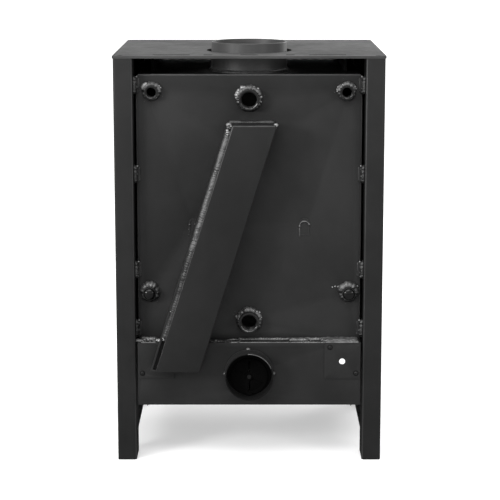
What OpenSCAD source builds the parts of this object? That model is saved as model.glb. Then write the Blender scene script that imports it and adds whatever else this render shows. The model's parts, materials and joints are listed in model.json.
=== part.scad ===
// Hydronic wood stove: a free-standing room heater with a water jacket round its firebox.
// The glazed door faces -Y and the rear, with the water sockets and the air inlet, faces +Y.
// Left and right are as seen from the front, so left is -X. The floor is at Z = 0.

/* [Casing] */
// Width over the two side casings
case_w = 520; // [500:1:600]
// Depth over the front and rear flanges
case_d = 440; // [420:1:560]
// Height of the top plate's upper face
case_h = 800; // [780:1:900]
// Thickness of the casing sheet
sheet_t = 2; // [1.5:0.5:3]
// Outer bend radius of the casing sheet
bend_r = 4; // [3.5:0.5:6]
// Width of each corner flange
flange_w = 37; // [32:1:45]
// Depth of each corner pillar's inner return
pillar_d = 64; // [30:1:80]
// Height of the side sheet's lower edge between the legs
leg_h = 48; // [30:1:80]
// Rounding of the flanges' lower inner corners
foot_r = 4; // [2:1:8]

/* [Top plate] */
// Thickness of the top plate
plate_t = 5; // [4:1:8]
// How far the top plate stands out over each side
plate_over = 1.3; // [0:0.1:4]
// Cut at the two front corners of the top plate
plate_cut = 6; // [2:1:12]
// Gap between the flue collar and the hole round it
plate_hole_gap = 9.5; // [4:0.5:14]
// Distance of the row of slots from the rear edge
slot_inset = 27; // [20:1:32]
// Width of the slots
slot_w = 10; // [4:0.5:12]
// Lengths of the middle, short and long slots
slot_lengths = [35, 18, 73];
// Places of the short and long slots on each side of the middle
slot_places = [79, 150];
// Distance of the plate screws from the plate's edges
plate_screw_inset = 14; // [11:1:18]

/* [Boiler] */
// Gap between the boiler's rear plate and the casing's returns
boiler_gap = 4.5; // [1:0.5:6]
// How far the boiler's rear plate lies inside the rear flanges
rear_recess = 28; // [18:1:40]
// Height of the boiler's lower edge
boiler_z0 = 238.5; // [230:0.5:260]
// Height of the gap between the rear plate's top and the top plate
top_gap = 32; // [20:1:50]
// Thickness of the rear plate
rear_t = 5; // [4:1:8]
// How far the shell lies inside the rear plate's edges
shell_inset = 3; // [2:1:6]
// Thickness of the outer shell
shell_t = 4; // [3:1:6]
// Width of the water space
water_gap = 38; // [30:1:45]
// Thickness of the firebox plates
fire_t = 5; // [4:1:8]
// Cut at the rear plate's top corners
rear_cut = 5; // [1:1:8]

/* [Flue] */
// Outer diameter of the flue collar
flue_d = 150; // [120:1:160]
// Wall of the flue collar
flue_wall = 2.5; // [2:0.5:4]
// How far the collar rises above the top plate
flue_rise = 17.5; // [10:0.5:60]
// Distance of the collar's axis from the rear flanges
flue_inset = 150; // [140:1:170]

/* [Water sockets] */
// Bore radius of the flow and return sockets
main_bore_r = 15.1; // [12:0.1:17]
// Outer radius of the flow and return sockets
main_r = 20; // [19:0.5:24]
// How far the flow and return sockets stand off the rear plate
main_reach = 22; // [12:1:27]
// Distance of the flow socket below the rear plate's top
flow_drop = 48; // [40:1:70]
// Distance of the return socket above the rear plate's lower edge
return_rise = 38.5; // [34:0.5:60]
// Bore radius of the four corner sockets
side_bore_r = 9.3; // [7:0.1:10.5]
// Outer radius of the four corner sockets
side_r = 13.2; // [12.5:0.1:16]
// How far the corner sockets stand off the rear plate
side_reach = 18; // [10:1:27]
// Distance of the upper corner sockets below the rear plate's top
side_drop = 34; // [26:1:60]
// Distance of the upper corner sockets from the rear plate's edges
side_inset = 30.5; // [28:0.5:45]
// Distance of the lower corner sockets above the rear plate's lower edge
low_rise = 95.5; // [80:0.5:120]
// Distance of the lower corner sockets from the rear plate's edges
low_inset = 23.5; // [22:0.5:40]
// Radius of the round plugs in the lower corner sockets
plug_r = 11.5; // [10.8:0.1:14]
// Thickness of the plugs' heads
plug_head = 7; // [4:0.5:12]

/* [Air channel] */
// Horizontal width of the sloping air channel
channel_w = 96; // [80:1:104]
// How far the channel's face stands out past the rear flanges
channel_reach = 40; // [36:1:60]
// Sheet thickness of the channel
channel_t = 3; // [2:0.5:4]
// Height of the channel's lower end
channel_z0 = 190; // [180:1:195]
// Distance of the channel's upper end below the rear plate's top
channel_drop = 94; // [90:1:140]
// Place of the channel's upper end from the middle
channel_top_x = -4.6; // [-20:0.1:20]
// Place of the channel's lower end from the middle
channel_foot_x = 144; // [130:1:148]
// Width of the stepped corner that the channel's weld fills
step_w = 10; // [6:0.5:12]
// Depth of that stepped corner
step_d = 6; // [4:0.5:8]
// How far that weld stands proud of the channel's face
weld_proud = 1; // [0.5:0.1:2]
// Height of the weld's lower end above the boiler's lower edge
weld_rise = 15; // [4:1:25]
// Depth of the open groove below the weld
open_groove_d = 14; // [8:1:18]

/* [Base] */
// Height of the base box's lower edge
base_z0 = 113; // [90:1:120]
// Sheet thickness of the base box
base_t = 3; // [2:0.5:4]
// Half width of the ash box in the middle of the base
ash_x = 150; // [140:1:160]
// Outer radius of the air inlet spigot
inlet_r = 47; // [40:1:50]
// Wall of the air inlet spigot
inlet_wall = 2; // [1.5:0.5:3]
// How far the spigot stands out past the rear flanges
inlet_reach = 34.5; // [20:0.5:36]
// Height of the spigot's axis above the base box's lower edge
inlet_rise = 65; // [60:1:68]
// How far the air shutter's pivot lies below the spigot's axis
shutter_drop = 7; // [0:0.5:7]
// Radius of the air shutter
shutter_r = 36; // [30:1:37]
// Width of the two cover plates
cover_w = 70; // [60:1:74]
// Height of the two cover plates
cover_h = 70; // [60:1:80]
// Thickness of the cover plates
cover_t = 2; // [1:0.5:2]
// Radius of the hole in the left cover plate
cover_hole_r = 6; // [4:0.5:10]

/* [Door] */
// How far the front frame lies inside the front flanges
front_recess = 8; // [8:0.5:12]
// Plate thickness of the front frame
frame_t = 5; // [4:0.5:6]
// Depth of the throat between the front frame and the water jacket
throat_d = 25; // [22:1:35]
// Gap between the door's edges and the corner pillars
door_gap = 6; // [3.5:0.5:8]
// Height of the door's lower edge above the boiler's lower edge
door_rise = 13.5; // [12:0.5:20]
// Distance of the door's upper edge below the boiler's top
door_drop = 31; // [29:1:40]
// Thickness of the door
door_t = 28; // [26:1:32]
// Gap between the closed door and the front frame
seal_gap = 3.5; // [3:0.5:5]
// Width of the frame round the glass opening
stile_w = 65; // [62:1:72]
// Chamfer round the door's front edges
door_chamfer = 4; // [3:0.5:6]
// Thickness of the door glass
glass_t = 4; // [3:0.5:5]
// Radius of the hinge pins
pin_r = 4; // [3:0.5:4.5]
// Radius of the latch spindle
spindle_r = 6; // [5:0.5:7]
// Length of the door lever
lever_len = 105; // [80:1:110]
// How far the door lever stands out from the door
handle_reach = 38; // [32:1:50]

/* [Ash drawer and air controls] */
// Half width of the ash drawer's front
drawer_x = 165; // [155:1:180]
// Height of the ash drawer's front
drawer_h = 104; // [98:1:106]
// Depth of the ash drawer's front
drawer_front_t = 16; // [14:1:22]
// Depth of the ash pan
pan_d = 290; // [220:1:320]
// Wall of the ash pan
pan_t = 1.5; // [1:0.5:2]
// Travel of the primary air slider
primary_travel = 9; // [8:0.5:10]
// Travel of the secondary air slider
secondary_travel = 20; // [16:1:22]
// Thickness of the firebricks
brick_t = 25; // [20:1:30]
// Height of the firebricks
brick_h = 226; // [180:1:240]

/* [Hidden] */
$fn = 64;

// Running clearance of a pin in its bore
run_gap = 0.05;
// Gap between moving flat faces
slide_gap = 0.4;
// Gap at which fixed pieces are set beside each other
fit_gap = 0.2;

half_w = case_w / 2;
plate_z0 = case_h - plate_t;
pillar_x = half_w - flange_w;
boiler_x = pillar_x - boiler_gap;
boiler_z1 = plate_z0 - top_gap;

front_reach = door_t + seal_gap + handle_reach - front_recess;
rear_reach = max(channel_reach + weld_proud, inlet_reach);
y_rear = (case_d + front_reach - rear_reach) / 2;
y_front = y_rear - case_d;
y_plate = y_rear - rear_recess;
y_face = y_front + front_recess;
y_jacket = y_face + frame_t + throat_d;

shell_x = boiler_x - shell_inset;
shell_z1 = boiler_z1 - shell_inset;
fire_x = shell_x - shell_t - water_gap;
fire_y = y_plate - rear_t - water_gap;
fire_z1 = shell_z1 - shell_t - water_gap;

plate_x1 = half_w + plate_over;
plate_screw_r = 3;
plate_screw_x = plate_x1 - plate_screw_inset;
plate_screw_ys = [y_front + plate_screw_inset, y_rear - plate_screw_inset];

flue_r = flue_d / 2;
flue_y = y_rear - flue_inset;
// Radius added at the welded root of the collar and the inlet, and to the tube under the collar
root_swell = 0.8;
collar_root = 8;
passage_r = flue_r + root_swell;

flow_z = boiler_z1 - flow_drop;
return_z = boiler_z0 + return_rise;
upper_side_at = [boiler_x - side_inset, boiler_z1 - side_drop];
lower_side_at = [boiler_x - low_inset, boiler_z0 + low_rise];
// Places of the flow and return sockets as [x, z]
main_sockets = [[0, flow_z], [0, return_z]];
socket_root = 6;
main_weld_leg = 5.4;
side_weld_leg = 5.2;

tab_h = 30;
tab_w = 10;
tab_t = 4;
tab_span = boiler_z1 - boiler_z0;
tab_heights = [
  boiler_z0 + tab_h * 0.8,
  boiler_z0 + tab_span * 0.27,
  boiler_z0 + tab_span * 0.63,
  boiler_z1 - tab_h * 0.7,
];

stay_x = 108;
stay_z = boiler_z0 + tab_span * 0.4;
stay_w = 19;
stay_h = 33;
stay_r = 8;
stay_down = 60;
stay_up = 110;

channel_z1 = boiler_z1 - channel_drop;
channel_y1 = y_rear + channel_reach;
channel_len = channel_z1 - channel_z0;
channel_run = channel_top_x - channel_foot_x;
channel_tilt = atan(channel_run / channel_len);
channel_edge = channel_len / cos(channel_tilt);
// Horizontal width that the stepped corner takes of the channel's face
step_x = step_w / cos(channel_tilt);
// Where the groove ends and the stepped corner starts along the channel's edge
weld_start = (boiler_z0 + weld_rise - channel_z0) / cos(channel_tilt);
passage_w = 50;
passage_h = 30;
passage_z = channel_z1 - 30;

inlet_z = base_z0 + inlet_rise;
shutter_z = inlet_z - shutter_drop;
shutter_t = 2;
shutter_gap = 0.3;
window_r0 = 8;
window_r1 = shutter_r - 6;
window_span = 70;
slit_span = 8;
pivot_r = 2.5;
pivot_head_r = 4;

cover_x = boiler_x - 1 - cover_w / 2;
cover_z = boiler_z0 - 2 - cover_h / 2;
cover_lap = 12;
cover_screw_r = 2.2;
base_lip = 20;
feed_x = [104, ash_x - base_t - 8];
feed_z = [196, 230];

door_x = pillar_x - door_gap;
door_z = [boiler_z0 + door_rise, boiler_z1 - door_drop];
door_mid = (door_z[0] + door_z[1]) / 2;
door_y1 = y_face - seal_gap;
door_y0 = door_y1 - door_t;
groove_in = 14;
groove_w = 12;
groove_d = 8;
mouth_in = 30;
lip_t = 8;
gasket_t = 1.5;
glass_lap = 9;
glass_y = door_y0 + lip_t + gasket_t;
// Places of the bosses that hold the glass clips: x, z and whether they lie on a rail
boss_in = 8;
glass_bosses = [
  for (side = [-1, 1], z = [-1, 1])
    [side * (door_x - stile_w + glass_lap + boss_in), door_mid + z * 120, 0]
];
rail_in = stile_w - glass_lap - boss_in;
rail_bosses = [[0, door_z[1] - rail_in, 1], [0, door_z[0] + rail_in, 1]];
boss_r = 4.5;
hinge_x = -(door_x - 12);
hinge_y = door_y1 - door_t / 2;
hinge_depth = 20;
bracket_t = 6;
bracket_gap = 2;
bracket_r = 12;
latch_x = door_x - 41;
tongue_len = 26;
tongue_w = 12;
tongue_t = 6;
tongue_gap = 1;

hearth_z1 = boiler_z0 + fire_t;
grate_size = [230, 210];
grate_y = (y_jacket + fire_y - fire_t) / 2;
grate_t = 8;
inner_x = fire_x - fire_t;
inner_y = fire_y - fire_t;
inner_z1 = fire_z1 - fire_t;
guard_y = y_jacket + 6;
guard_t = 5;
baffle_t = 20;
baffle_front_gap = 75;
baffle_drop = [155, 85];
baffle_z = [inner_z1 - baffle_drop[0], inner_z1 - baffle_drop[1]];
baffle_y0 = y_jacket + baffle_front_gap;
baffle_tilt = atan((baffle_z[1] - baffle_z[0]) / (inner_y - baffle_y0));
stud_r = 6;
stud_len = 16;
stud_in = 28;

sec_pitch = 40;
sec_slot = [18, 8];
sec_count = 7;
sec_z = door_z[1] + 18;
sec_h = 16;
fascia_z0 = door_z[1] + 12;
fascia_d = 18;
knob_r = 8;
knob_len = 12;
knob_edge = 2;
knob_out = 20;
knob_stem_r = 3;
knob_x = 160;

drawer_y0 = y_face - 0.5 - drawer_front_t;
drawer_z0 = base_z0 + 10;
skin_t = 3;
pan_x = ash_x - base_t - 15;
pan_h = 86;
runner_h = 2;
runner_x = 105;
pan_z0 = base_z0 + base_t + runner_h + slide_gap;
prim_pitch = 18;
prim_slot = [8, 22];
prim_count = 7;
prim_z = drawer_z0 + 28;
prim_h = 34;
prim_knob_x = 100;
// Drawer handle: bar, and posts set in from its ends
grip_r = 6;
grip_half = 70;
grip_reach = 30;
grip_drop = 26;
grip_post_r = 4;
grip_post_in = 14;

steel = "#333334";
plate_steel = "#4b4b4d";
boiler_steel = "#2d2d2e";
weld_grey = "#6a6a6b";
bright = "#9c9c9c";
iron = "#262627";
brick = "#b9a27c";

// A box given by its low and high X, Y and Z
module block(x, y, z) {
  translate([x[0], y[0], z[0]])
    cube([x[1] - x[0], y[1] - y[0], z[1] - z[0]]);
}

// A flat shape drawn in X and Z, as thick as the span of Y
module plate_y(y) {
  translate([0, y[1], 0])
    rotate([90, 0, 0])
      linear_extrude(y[1] - y[0])
        children();
}

// A flat shape drawn in Y and Z, as wide as the span of X
module plate_x(x) {
  translate([x[0], 0, 0])
    rotate([90, 0, 90])
      linear_extrude(x[1] - x[0])
        children();
}

// A round bar along Y at [x, z]
module rod_y(r, y, at) {
  translate([at[0], y[1], at[1]])
    rotate([90, 0, 0])
      cylinder(r = r, h = y[1] - y[0]);
}

// A round bar along Z at [x, y]
module rod_z(r, z, at) {
  translate([at[0], at[1], z[0]])
    cylinder(r = r, h = z[1] - z[0]);
}

// A tube along Y at [x, z]
module tube_y(r, bore, y, at) {
  difference() {
    rod_y(r, y, at);
    rod_y(bore, [y[0] - 1, y[1] + 1], at);
  }
}

// A rectangle between two spans with round corners
module round_rect(x, y, r) {
  translate([x[0] + r, y[0]])
    square([x[1] - x[0] - 2 * r, y[1] - y[0]]);
  translate([x[0], y[0] + r])
    square([x[1] - x[0], y[1] - y[0] - 2 * r]);
  for (cx = [x[0] + r, x[1] - r], cy = [y[0] + r, y[1] - r])
    translate([cx, cy])
      circle(r);
}

// A slot with round ends, along X or, where it is taller than wide, along Y
module slot(w, h) {
  r = min(w, h) / 2;
  round_rect([-w / 2, w / 2], [-h / 2, h / 2], r * 0.999);
}

// A block whose front edges are chamfered all round, for the door and the drawer front
module chamfered_front(x, y, z, c) {
  intersection() {
    linear_extrude(z[1])
      polygon([
        [x[0], y[1]], [x[0], y[0] + c], [x[0] + c, y[0]],
        [x[1] - c, y[0]], [x[1], y[0] + c], [x[1], y[1]],
      ]);
    plate_x([x[0] - 1, x[1] + 1])
      polygon([
        [y[1], z[0]], [y[0] + c, z[0]], [y[0], z[0] + c],
        [y[0], z[1] - c], [y[0] + c, z[1]], [y[1], z[1]],
      ]);
  }
}

// A bow-tie window of two opposite sectors, centred on [x, z]
module windows(at, turn, y) {
  far = window_r1 * 2;
  plate_y(y)
    translate(at)
      for (side = [0, 180])
        rotate(turn + side)
          intersection() {
            difference() {
              circle(window_r1);
              circle(window_r0);
            }
            polygon([
              [0, 0], [far, 0], [far, far * 0.6],
              [far * cos(window_span), far * sin(window_span)],
            ]);
          }
}

// Unit cross-sections of weld beads: a dome on a flat and a fillet in a corner
dome_section = [for (a = [0:22.5:180]) [cos(a), sin(a)]];
fillet_section = concat([[0, 0]], [for (a = [0:22.5:90]) [cos(a), sin(a)]]);

// Uneven size of a hand-laid bead at a distance along it
function ripple(s, seed) =
  1 + 0.13 * sin(s * 52 + seed) + 0.08 * sin(s * 19 + 3 * seed) + 0.05 * sin(s * 83 + seed);

// A weld bead along +Z, its flats staying on the planes of the section and its size under a cap
module bead(length, section, leg, step, seed, cap = 100) {
  rings = max(3, ceil(length / step));
  count = len(section);
  points = [
    for (i = [0:rings])
      let (
        end = (i == 0 || i == rings) ? 0.55 : 1,
        size = min(cap, leg * end * ripple(i * step, seed))
      )
      for (p = section)
        [p[0] * size, p[1] * size, length * i / rings]
  ];
  sides = [
    for (i = [0:rings - 1], j = [0:count - 1])
      let (a = i * count + j, b = i * count + (j + 1) % count)
      [a, a + count, b + count, b]
  ];
  ends = [
    [for (j = [0:count - 1]) j],
    [for (j = [count - 1:-1:0]) rings * count + j],
  ];
  polyhedron(points, concat(sides, ends), convexity = 4);
}

// A fillet bead round a tube that stands on a plate, in the XY plane with the tube along +Z
module ring_bead(r, leg, parts, seed) {
  count = len(fillet_section);
  inner = r / cos(180 / parts);
  points = [
    for (i = [0:parts - 1])
      let (
        turn = i * 360 / parts,
        size = leg * (1 + 0.16 * sin(turn * 5 + seed) + 0.1 * sin(turn * 9 + 2 * seed))
      )
      for (p = fillet_section)
        [
          (inner + p[0] * size) * cos(turn),
          (inner + p[0] * size) * sin(turn),
          p[1] * size,
        ]
  ];
  faces = [
    for (i = [0:parts - 1], j = [0:count - 1])
      let (
        a = i * count + j,
        b = i * count + (j + 1) % count,
        c = ((i + 1) % parts) * count + j,
        d = ((i + 1) % parts) * count + (j + 1) % count
      )
      [a, b, d, c]
  ];
  polyhedron(points, faces, convexity = 4);
}

// Plan of a side casing: a sheet folded into two open pillars, on the +X side
module casing_plan() {
  difference() {
    round_rect([pillar_x, half_w], [y_front, y_rear], bend_r);
    round_rect(
      [pillar_x + sheet_t, half_w - sheet_t],
      [y_front + sheet_t, y_rear - sheet_t],
      bend_r - sheet_t
    );
    translate([pillar_x - 1, y_front + pillar_d])
      square([sheet_t + 2, case_d - 2 * pillar_d]);
  }
}

module side_casing() {
  between = [y_front + pillar_d, y_rear - pillar_d];
  difference() {
    linear_extrude(plate_z0)
      casing_plan();
    block([pillar_x - 1, half_w + 1], between, [-1, leg_h]);
    for (y = [y_front - 1, y_rear - sheet_t - 1])
      difference() {
        block([pillar_x - 1, pillar_x + foot_r], [y, y + sheet_t + 2], [-1, foot_r]);
        rod_y(foot_r, [y - 1, y + sheet_t + 3], [pillar_x + foot_r, foot_r]);
      }
  }
  block([pillar_x, half_w - sheet_t / 2], between, [leg_h, leg_h + sheet_t]);
  screw_y = plate_screw_inset * 2;
  for (y = [y_front + sheet_t / 2, y_rear - sheet_t / 2 - screw_y])
    difference() {
      block([pillar_x + sheet_t / 2, half_w - sheet_t / 2], [y, y + screw_y],
            [plate_z0 - sheet_t, plate_z0]);
      for (sy = plate_screw_ys)
        rod_z(plate_screw_r + fit_gap, [plate_z0 - sheet_t - 1, plate_z0 + 1], [plate_screw_x, sy]);
    }
}

module left_side_casing() {
  color(steel)
    mirror([1, 0, 0])
      side_casing();
}

module right_side_casing() {
  color(steel)
    side_casing();
}

module top_plate() {
  slots = [
    for (s = [-1, 1], i = [0, 1]) [s * slot_places[i], slot_lengths[i + 1]]
  ];
  color(plate_steel)
    difference() {
      translate([0, 0, plate_z0])
        linear_extrude(plate_t)
          difference() {
            polygon([
              [-plate_x1, y_rear], [-plate_x1, y_front + plate_cut],
              [-plate_x1 + plate_cut, y_front], [plate_x1 - plate_cut, y_front],
              [plate_x1, y_front + plate_cut], [plate_x1, y_rear],
            ]);
            translate([0, flue_y])
              circle(flue_r + plate_hole_gap, $fn = 96);
            for (s = concat([[0, slot_lengths[0]]], slots))
              translate([s[0], y_rear - slot_inset])
                slot(s[1], slot_w);
          }
      for (x = [-plate_screw_x, plate_screw_x], y = plate_screw_ys) {
        rod_z(plate_screw_r + fit_gap, [plate_z0 - 1, case_h], [x, y]);
        translate([x, y, case_h - plate_screw_r])
          cylinder(r1 = plate_screw_r + fit_gap, r2 = 2 * plate_screw_r + fit_gap,
                   h = plate_screw_r + 0.01);
      }
    }
}

module top_plate_screws() {
  color(bright)
    for (x = [-plate_screw_x, plate_screw_x], y = plate_screw_ys)
      translate([x, y, 0])
        difference() {
          union() {
            rod_z(plate_screw_r, [plate_z0 - 8, case_h], [0, 0]);
            translate([0, 0, case_h - plate_screw_r])
              cylinder(r1 = plate_screw_r, r2 = 2 * plate_screw_r, h = plate_screw_r);
          }
          translate([0, 0, case_h - 2])
            cylinder(r = 2, h = 3, $fn = 6);
        }
}

module top_plate_rails() {
  rail_x = 191;
  rail_t = 5;
  rail_len = 275;
  color(boiler_steel)
    for (x = [-rail_x, rail_x])
      block([x - rail_t / 2, x + rail_t / 2], [y_jacket, y_jacket + rail_len],
            [shell_z1, plate_z0]);
}

// A place and its mirror image on the other side
function side_pair(at) = [[-at[0], at[1]], at];

// Inverted U of the rear stays, grown on every side
module stay_outline(grow) {
  r = stay_w / 2 + grow;
  translate([-r, -grow])
    square([2 * r, stay_h - stay_w / 2 + grow]);
  translate([0, stay_h - stay_w / 2])
    circle(r);
}

module rear_boiler_plate() {
  color(boiler_steel)
    difference() {
      plate_y([y_plate - rear_t, y_plate])
        difference() {
          polygon([
            [-boiler_x, boiler_z0], [boiler_x, boiler_z0],
            [boiler_x, boiler_z1 - rear_cut], [boiler_x - rear_cut, boiler_z1],
            [-boiler_x + rear_cut, boiler_z1], [-boiler_x, boiler_z1 - rear_cut],
          ]);
          for (at = main_sockets)
            translate(at)
              circle(main_r + fit_gap);
          for (at = concat(side_pair(upper_side_at), side_pair(lower_side_at)))
            translate(at)
              circle(side_r + fit_gap);
          for (x = [-stay_x, stay_x])
            translate([x, stay_z])
              stay_outline(fit_gap);
          translate([channel_top_x - passage_w / 2 - fit_gap, passage_z - passage_h - fit_gap])
            square([passage_w + 2 * fit_gap, passage_h + 2 * fit_gap]);
        }
    }
}

// The folded sides and top of the water jacket, open at the front, rear and bottom
module boiler_shell() {
  y = [y_jacket, y_plate - rear_t];
  color(boiler_steel)
    difference() {
      block([-shell_x, shell_x], y, [boiler_z0, shell_z1]);
      block([-shell_x + shell_t, shell_x - shell_t], [y[0] - 1, y[1] + 1],
            [boiler_z0 - 1, shell_z1 - shell_t]);
      rod_z(passage_r + fit_gap, [shell_z1 - shell_t - 1, shell_z1 + 1], [0, flue_y]);
    }
}

module firebox_shell() {
  color(iron)
    difference() {
      block([-fire_x, fire_x], [y_jacket, fire_y], [boiler_z0, fire_z1]);
      block([-inner_x, inner_x], [y_jacket - 1, inner_y], [boiler_z0 - 1, inner_z1]);
      rod_z(flue_r - flue_wall, [inner_z1 - 1, fire_z1 + 1], [0, flue_y]);
      block([channel_top_x - passage_w / 2 + channel_t, channel_top_x + passage_w / 2 - channel_t],
            [inner_y - 1, fire_y + 1],
            [passage_z - passage_h + channel_t, passage_z - channel_t]);
    }
}

// Plates that close the water space at the bottom and at the front
module jacket_rings() {
  edge = shell_x - shell_t;
  z = [boiler_z0, boiler_z0 + fire_t];
  y = [y_jacket, y_jacket + fire_t];
  color(boiler_steel) {
    difference() {
      block([-edge, edge], [y_jacket, y_plate - rear_t], z);
      block([-fire_x, fire_x], [y_jacket - 1, fire_y], [z[0] - 1, z[1] + 1]);
    }
    difference() {
      block([-edge, edge], y, [z[1], shell_z1 - shell_t]);
      block([-fire_x, fire_x], [y[0] - 1, y[1] + 1], [boiler_z0, fire_z1]);
    }
  }
}

// Tube that takes the flue through the water space
module flue_passage() {
  color(boiler_steel)
    translate([0, flue_y, fire_z1])
      difference() {
        cylinder(r = passage_r, h = shell_z1 - fire_z1);
        translate([0, 0, -1])
          cylinder(r = flue_r - flue_wall, h = shell_z1 - fire_z1 + 2);
      }
}

// Front plate with the door opening, and the throat behind it
module front_frame() {
  mouth_x = door_x - mouth_in;
  mouth_z = [door_z[0] + mouth_in, door_z[1] - mouth_in];
  throat = [y_face + frame_t, y_jacket];
  color(boiler_steel) {
    plate_y([y_face, y_face + frame_t])
      difference() {
        translate([-boiler_x, boiler_z0])
          square([2 * boiler_x, boiler_z1 - boiler_z0]);
        round_rect([-mouth_x, mouth_x], mouth_z, 6);
        for (i = [0:sec_count - 1])
          translate([(i - (sec_count - 1) / 2) * sec_pitch, sec_z])
            slot(sec_slot[0], sec_slot[1]);
      }
    difference() {
      block([-shell_x, shell_x], throat, [boiler_z0, shell_z1]);
      block([-shell_x + shell_t, shell_x - shell_t], [throat[0] - 1, throat[1] + 1],
            [boiler_z0 + fire_t, shell_z1 - shell_t]);
    }
  }
}

// Bars that hold the two walls of the water jacket together
module jacket_stays() {
  stay_ys = [y_jacket + (fire_y - y_jacket) * 0.33, y_jacket + (fire_y - y_jacket) * 0.7];
  color(weld_grey) {
    for (x = [-stay_x, stay_x])
      translate([x, 0, stay_z])
        plate_y([fire_y, y_plate])
          stay_outline(0);
    for (x = [-fire_x - water_gap, fire_x], y = stay_ys, z = [stay_z - stay_down, stay_z + stay_up])
      translate([x, y, z])
        rotate([0, 90, 0])
          cylinder(r = stay_r, h = water_gap);
    // Arched weld round each rear stay, as far as the channel leaves it open
    plate_y([y_plate, y_plate + 1.2])
      difference() {
        for (x = [-stay_x, stay_x])
          translate([x, stay_z])
            difference() {
              stay_outline(fit_gap);
              stay_outline(-2.2);
              translate([-stay_w, -1])
                square([2 * stay_w, 2]);
            }
        channel_outline(-fit_gap);
      }
  }
}

// Stitch-welded tabs that hold the boiler between the pillars
module casing_tabs() {
  color(weld_grey)
    for (side = [-1, 1], z = tab_heights)
      plate_y([y_plate, y_plate + tab_t])
        round_rect(
          side > 0 ? [pillar_x - tab_w, pillar_x] : [-pillar_x, -pillar_x + tab_w],
          [max(z - tab_h / 2, boiler_z0), z + tab_h / 2],
          2.5
        );
}

module flue_collar() {
  top = case_h + flue_rise;
  lead = 1.2;
  color(plate_steel)
    translate([0, flue_y, 0])
      rotate_extrude($fn = 96)
        polygon([
          [flue_r - flue_wall, shell_z1], [flue_r + root_swell, shell_z1],
          [flue_r + root_swell, shell_z1 + collar_root], [flue_r, shell_z1 + collar_root],
          [flue_r, top - lead], [flue_r - lead, top], [flue_r - flue_wall, top],
        ]);
}

module collar_weld() {
  color(weld_grey)
    translate([0, flue_y, shell_z1])
      ring_bead(flue_r + root_swell, 5.5, 72, 20);
}

module socket(at, r, bore, reach) {
  color(boiler_steel)
    difference() {
      rod_y(r, [y_plate - rear_t - socket_root, y_plate + reach], at);
      rod_y(bore, [y_plate - rear_t - socket_root - 1, y_plate + reach + 1], at);
      // Lead-in at the mouth of the thread
      translate([at[0], y_plate + reach + 0.01, at[1]])
        rotate([90, 0, 0])
          cylinder(r1 = bore + 1.4, r2 = bore, h = 1.4);
    }
}

module flow_socket() {
  socket([0, flow_z], main_r, main_bore_r, main_reach);
}

module return_socket() {
  socket([0, return_z], main_r, main_bore_r, main_reach);
}

module upper_corner_sockets() {
  for (at = side_pair(upper_side_at))
    socket(at, side_r, side_bore_r, side_reach);
}

module lower_corner_sockets() {
  for (at = side_pair(lower_side_at))
    socket(at, side_r, side_bore_r, side_reach);
}

module socket_plugs() {
  body_r = side_bore_r - run_gap;
  body_len = 14;
  groove = 2;
  color("#101010")
    for (at = side_pair(lower_side_at))
      translate([at[0], y_plate + side_reach, at[1]])
        rotate([-90, 0, 0])
          rotate_extrude()
            polygon(concat(
              [[0, -body_len], [body_r, -body_len], [body_r, 0], [plug_r, 0],
               [plug_r, plug_head - groove]],
              [for (a = [15:15:75]) [plug_r - groove + groove * cos(a),
                                     plug_head - groove + groove * sin(a)]],
              [[plug_r * 0.6, plug_head], [plug_r * 0.5, plug_head - 1], [0, plug_head - 1]]
            ));
}

module socket_welds() {
  color(weld_grey) {
    for (i = [0, 1])
      translate([0, y_plate, main_sockets[i][1]])
        rotate([-90, 0, 0])
          ring_bead(main_r, main_weld_leg, 40, 40 + 70 * i);
    for (i = [0, 1], j = [0, 1])
      let (at = side_pair(i == 0 ? upper_side_at : lower_side_at)[j])
      translate([at[0], y_plate, at[1]])
        rotate([-90, 0, 0])
          ring_bead(side_r, side_weld_leg, 32, 15 + 90 * i + 35 * j);
  }
}

// Outline of the air channel in X and Z, drawn in by a wall on every side
module channel_outline(wall) {
  side = wall / cos(channel_tilt);
  z = [channel_z0 + wall, channel_z1 - wall];
  half = channel_w / 2 - side;
  mid = [for (v = z) channel_foot_x + channel_run * (v - channel_z0) / channel_len];
  polygon([
    [mid[0] - half, z[0]], [mid[0] + half, z[0]],
    [mid[1] + half, z[1]], [mid[1] - half, z[1]],
  ]);
}

// Puts its child at the lower end of the channel's welded edge, with Z running up that edge
module along_channel_edge() {
  translate([channel_foot_x + channel_w / 2, channel_y1, channel_z0])
    rotate([0, channel_tilt, 0])
      children();
}

// A block along the channel's welded edge: its inner side, its depth and its ends
module edge_block(x, depth, z) {
  along_channel_edge()
    block(x, [-depth, 1], z);
}

// Stepped corner above the groove, and the groove itself, grown by a wall
module channel_step(wall) {
  over = 20;
  foot = channel_t + 3.5;
  edge_block([-step_w - wall, over], step_d + wall, [weld_start - 1 - wall, channel_edge + over]);
  edge_block([-step_w - wall, -channel_t + wall], open_groove_d + wall, [foot - wall, weld_start - 1 + wall]);
  edge_block([-channel_t - 0.01, over], 2.5, [foot, weld_start]);
}

// The channel's outer form, with its stepped corner
module channel_form() {
  difference() {
    plate_y([y_plate, channel_y1])
      channel_outline(0);
    channel_step(0);
  }
}

module air_channel() {
  color(steel)
    difference() {
      channel_form();
      difference() {
        plate_y([y_plate - 1, channel_y1 - channel_t])
          channel_outline(channel_t);
        channel_step(channel_t);
      }
      // The base box stands out under the channel's lower part
      block([-half_w, half_w], [y_plate - 1, y_rear], [0, boiler_z0]);
      // Room for the cover plate that passes under the channel's edge
      block([cover_x - cover_w / 2 - 1, half_w], [y_rear - 1, y_rear + cover_t + fit_gap],
            [cover_z - cover_h / 2 - 1, boiler_z0 - 1]);
    }
}

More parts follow.
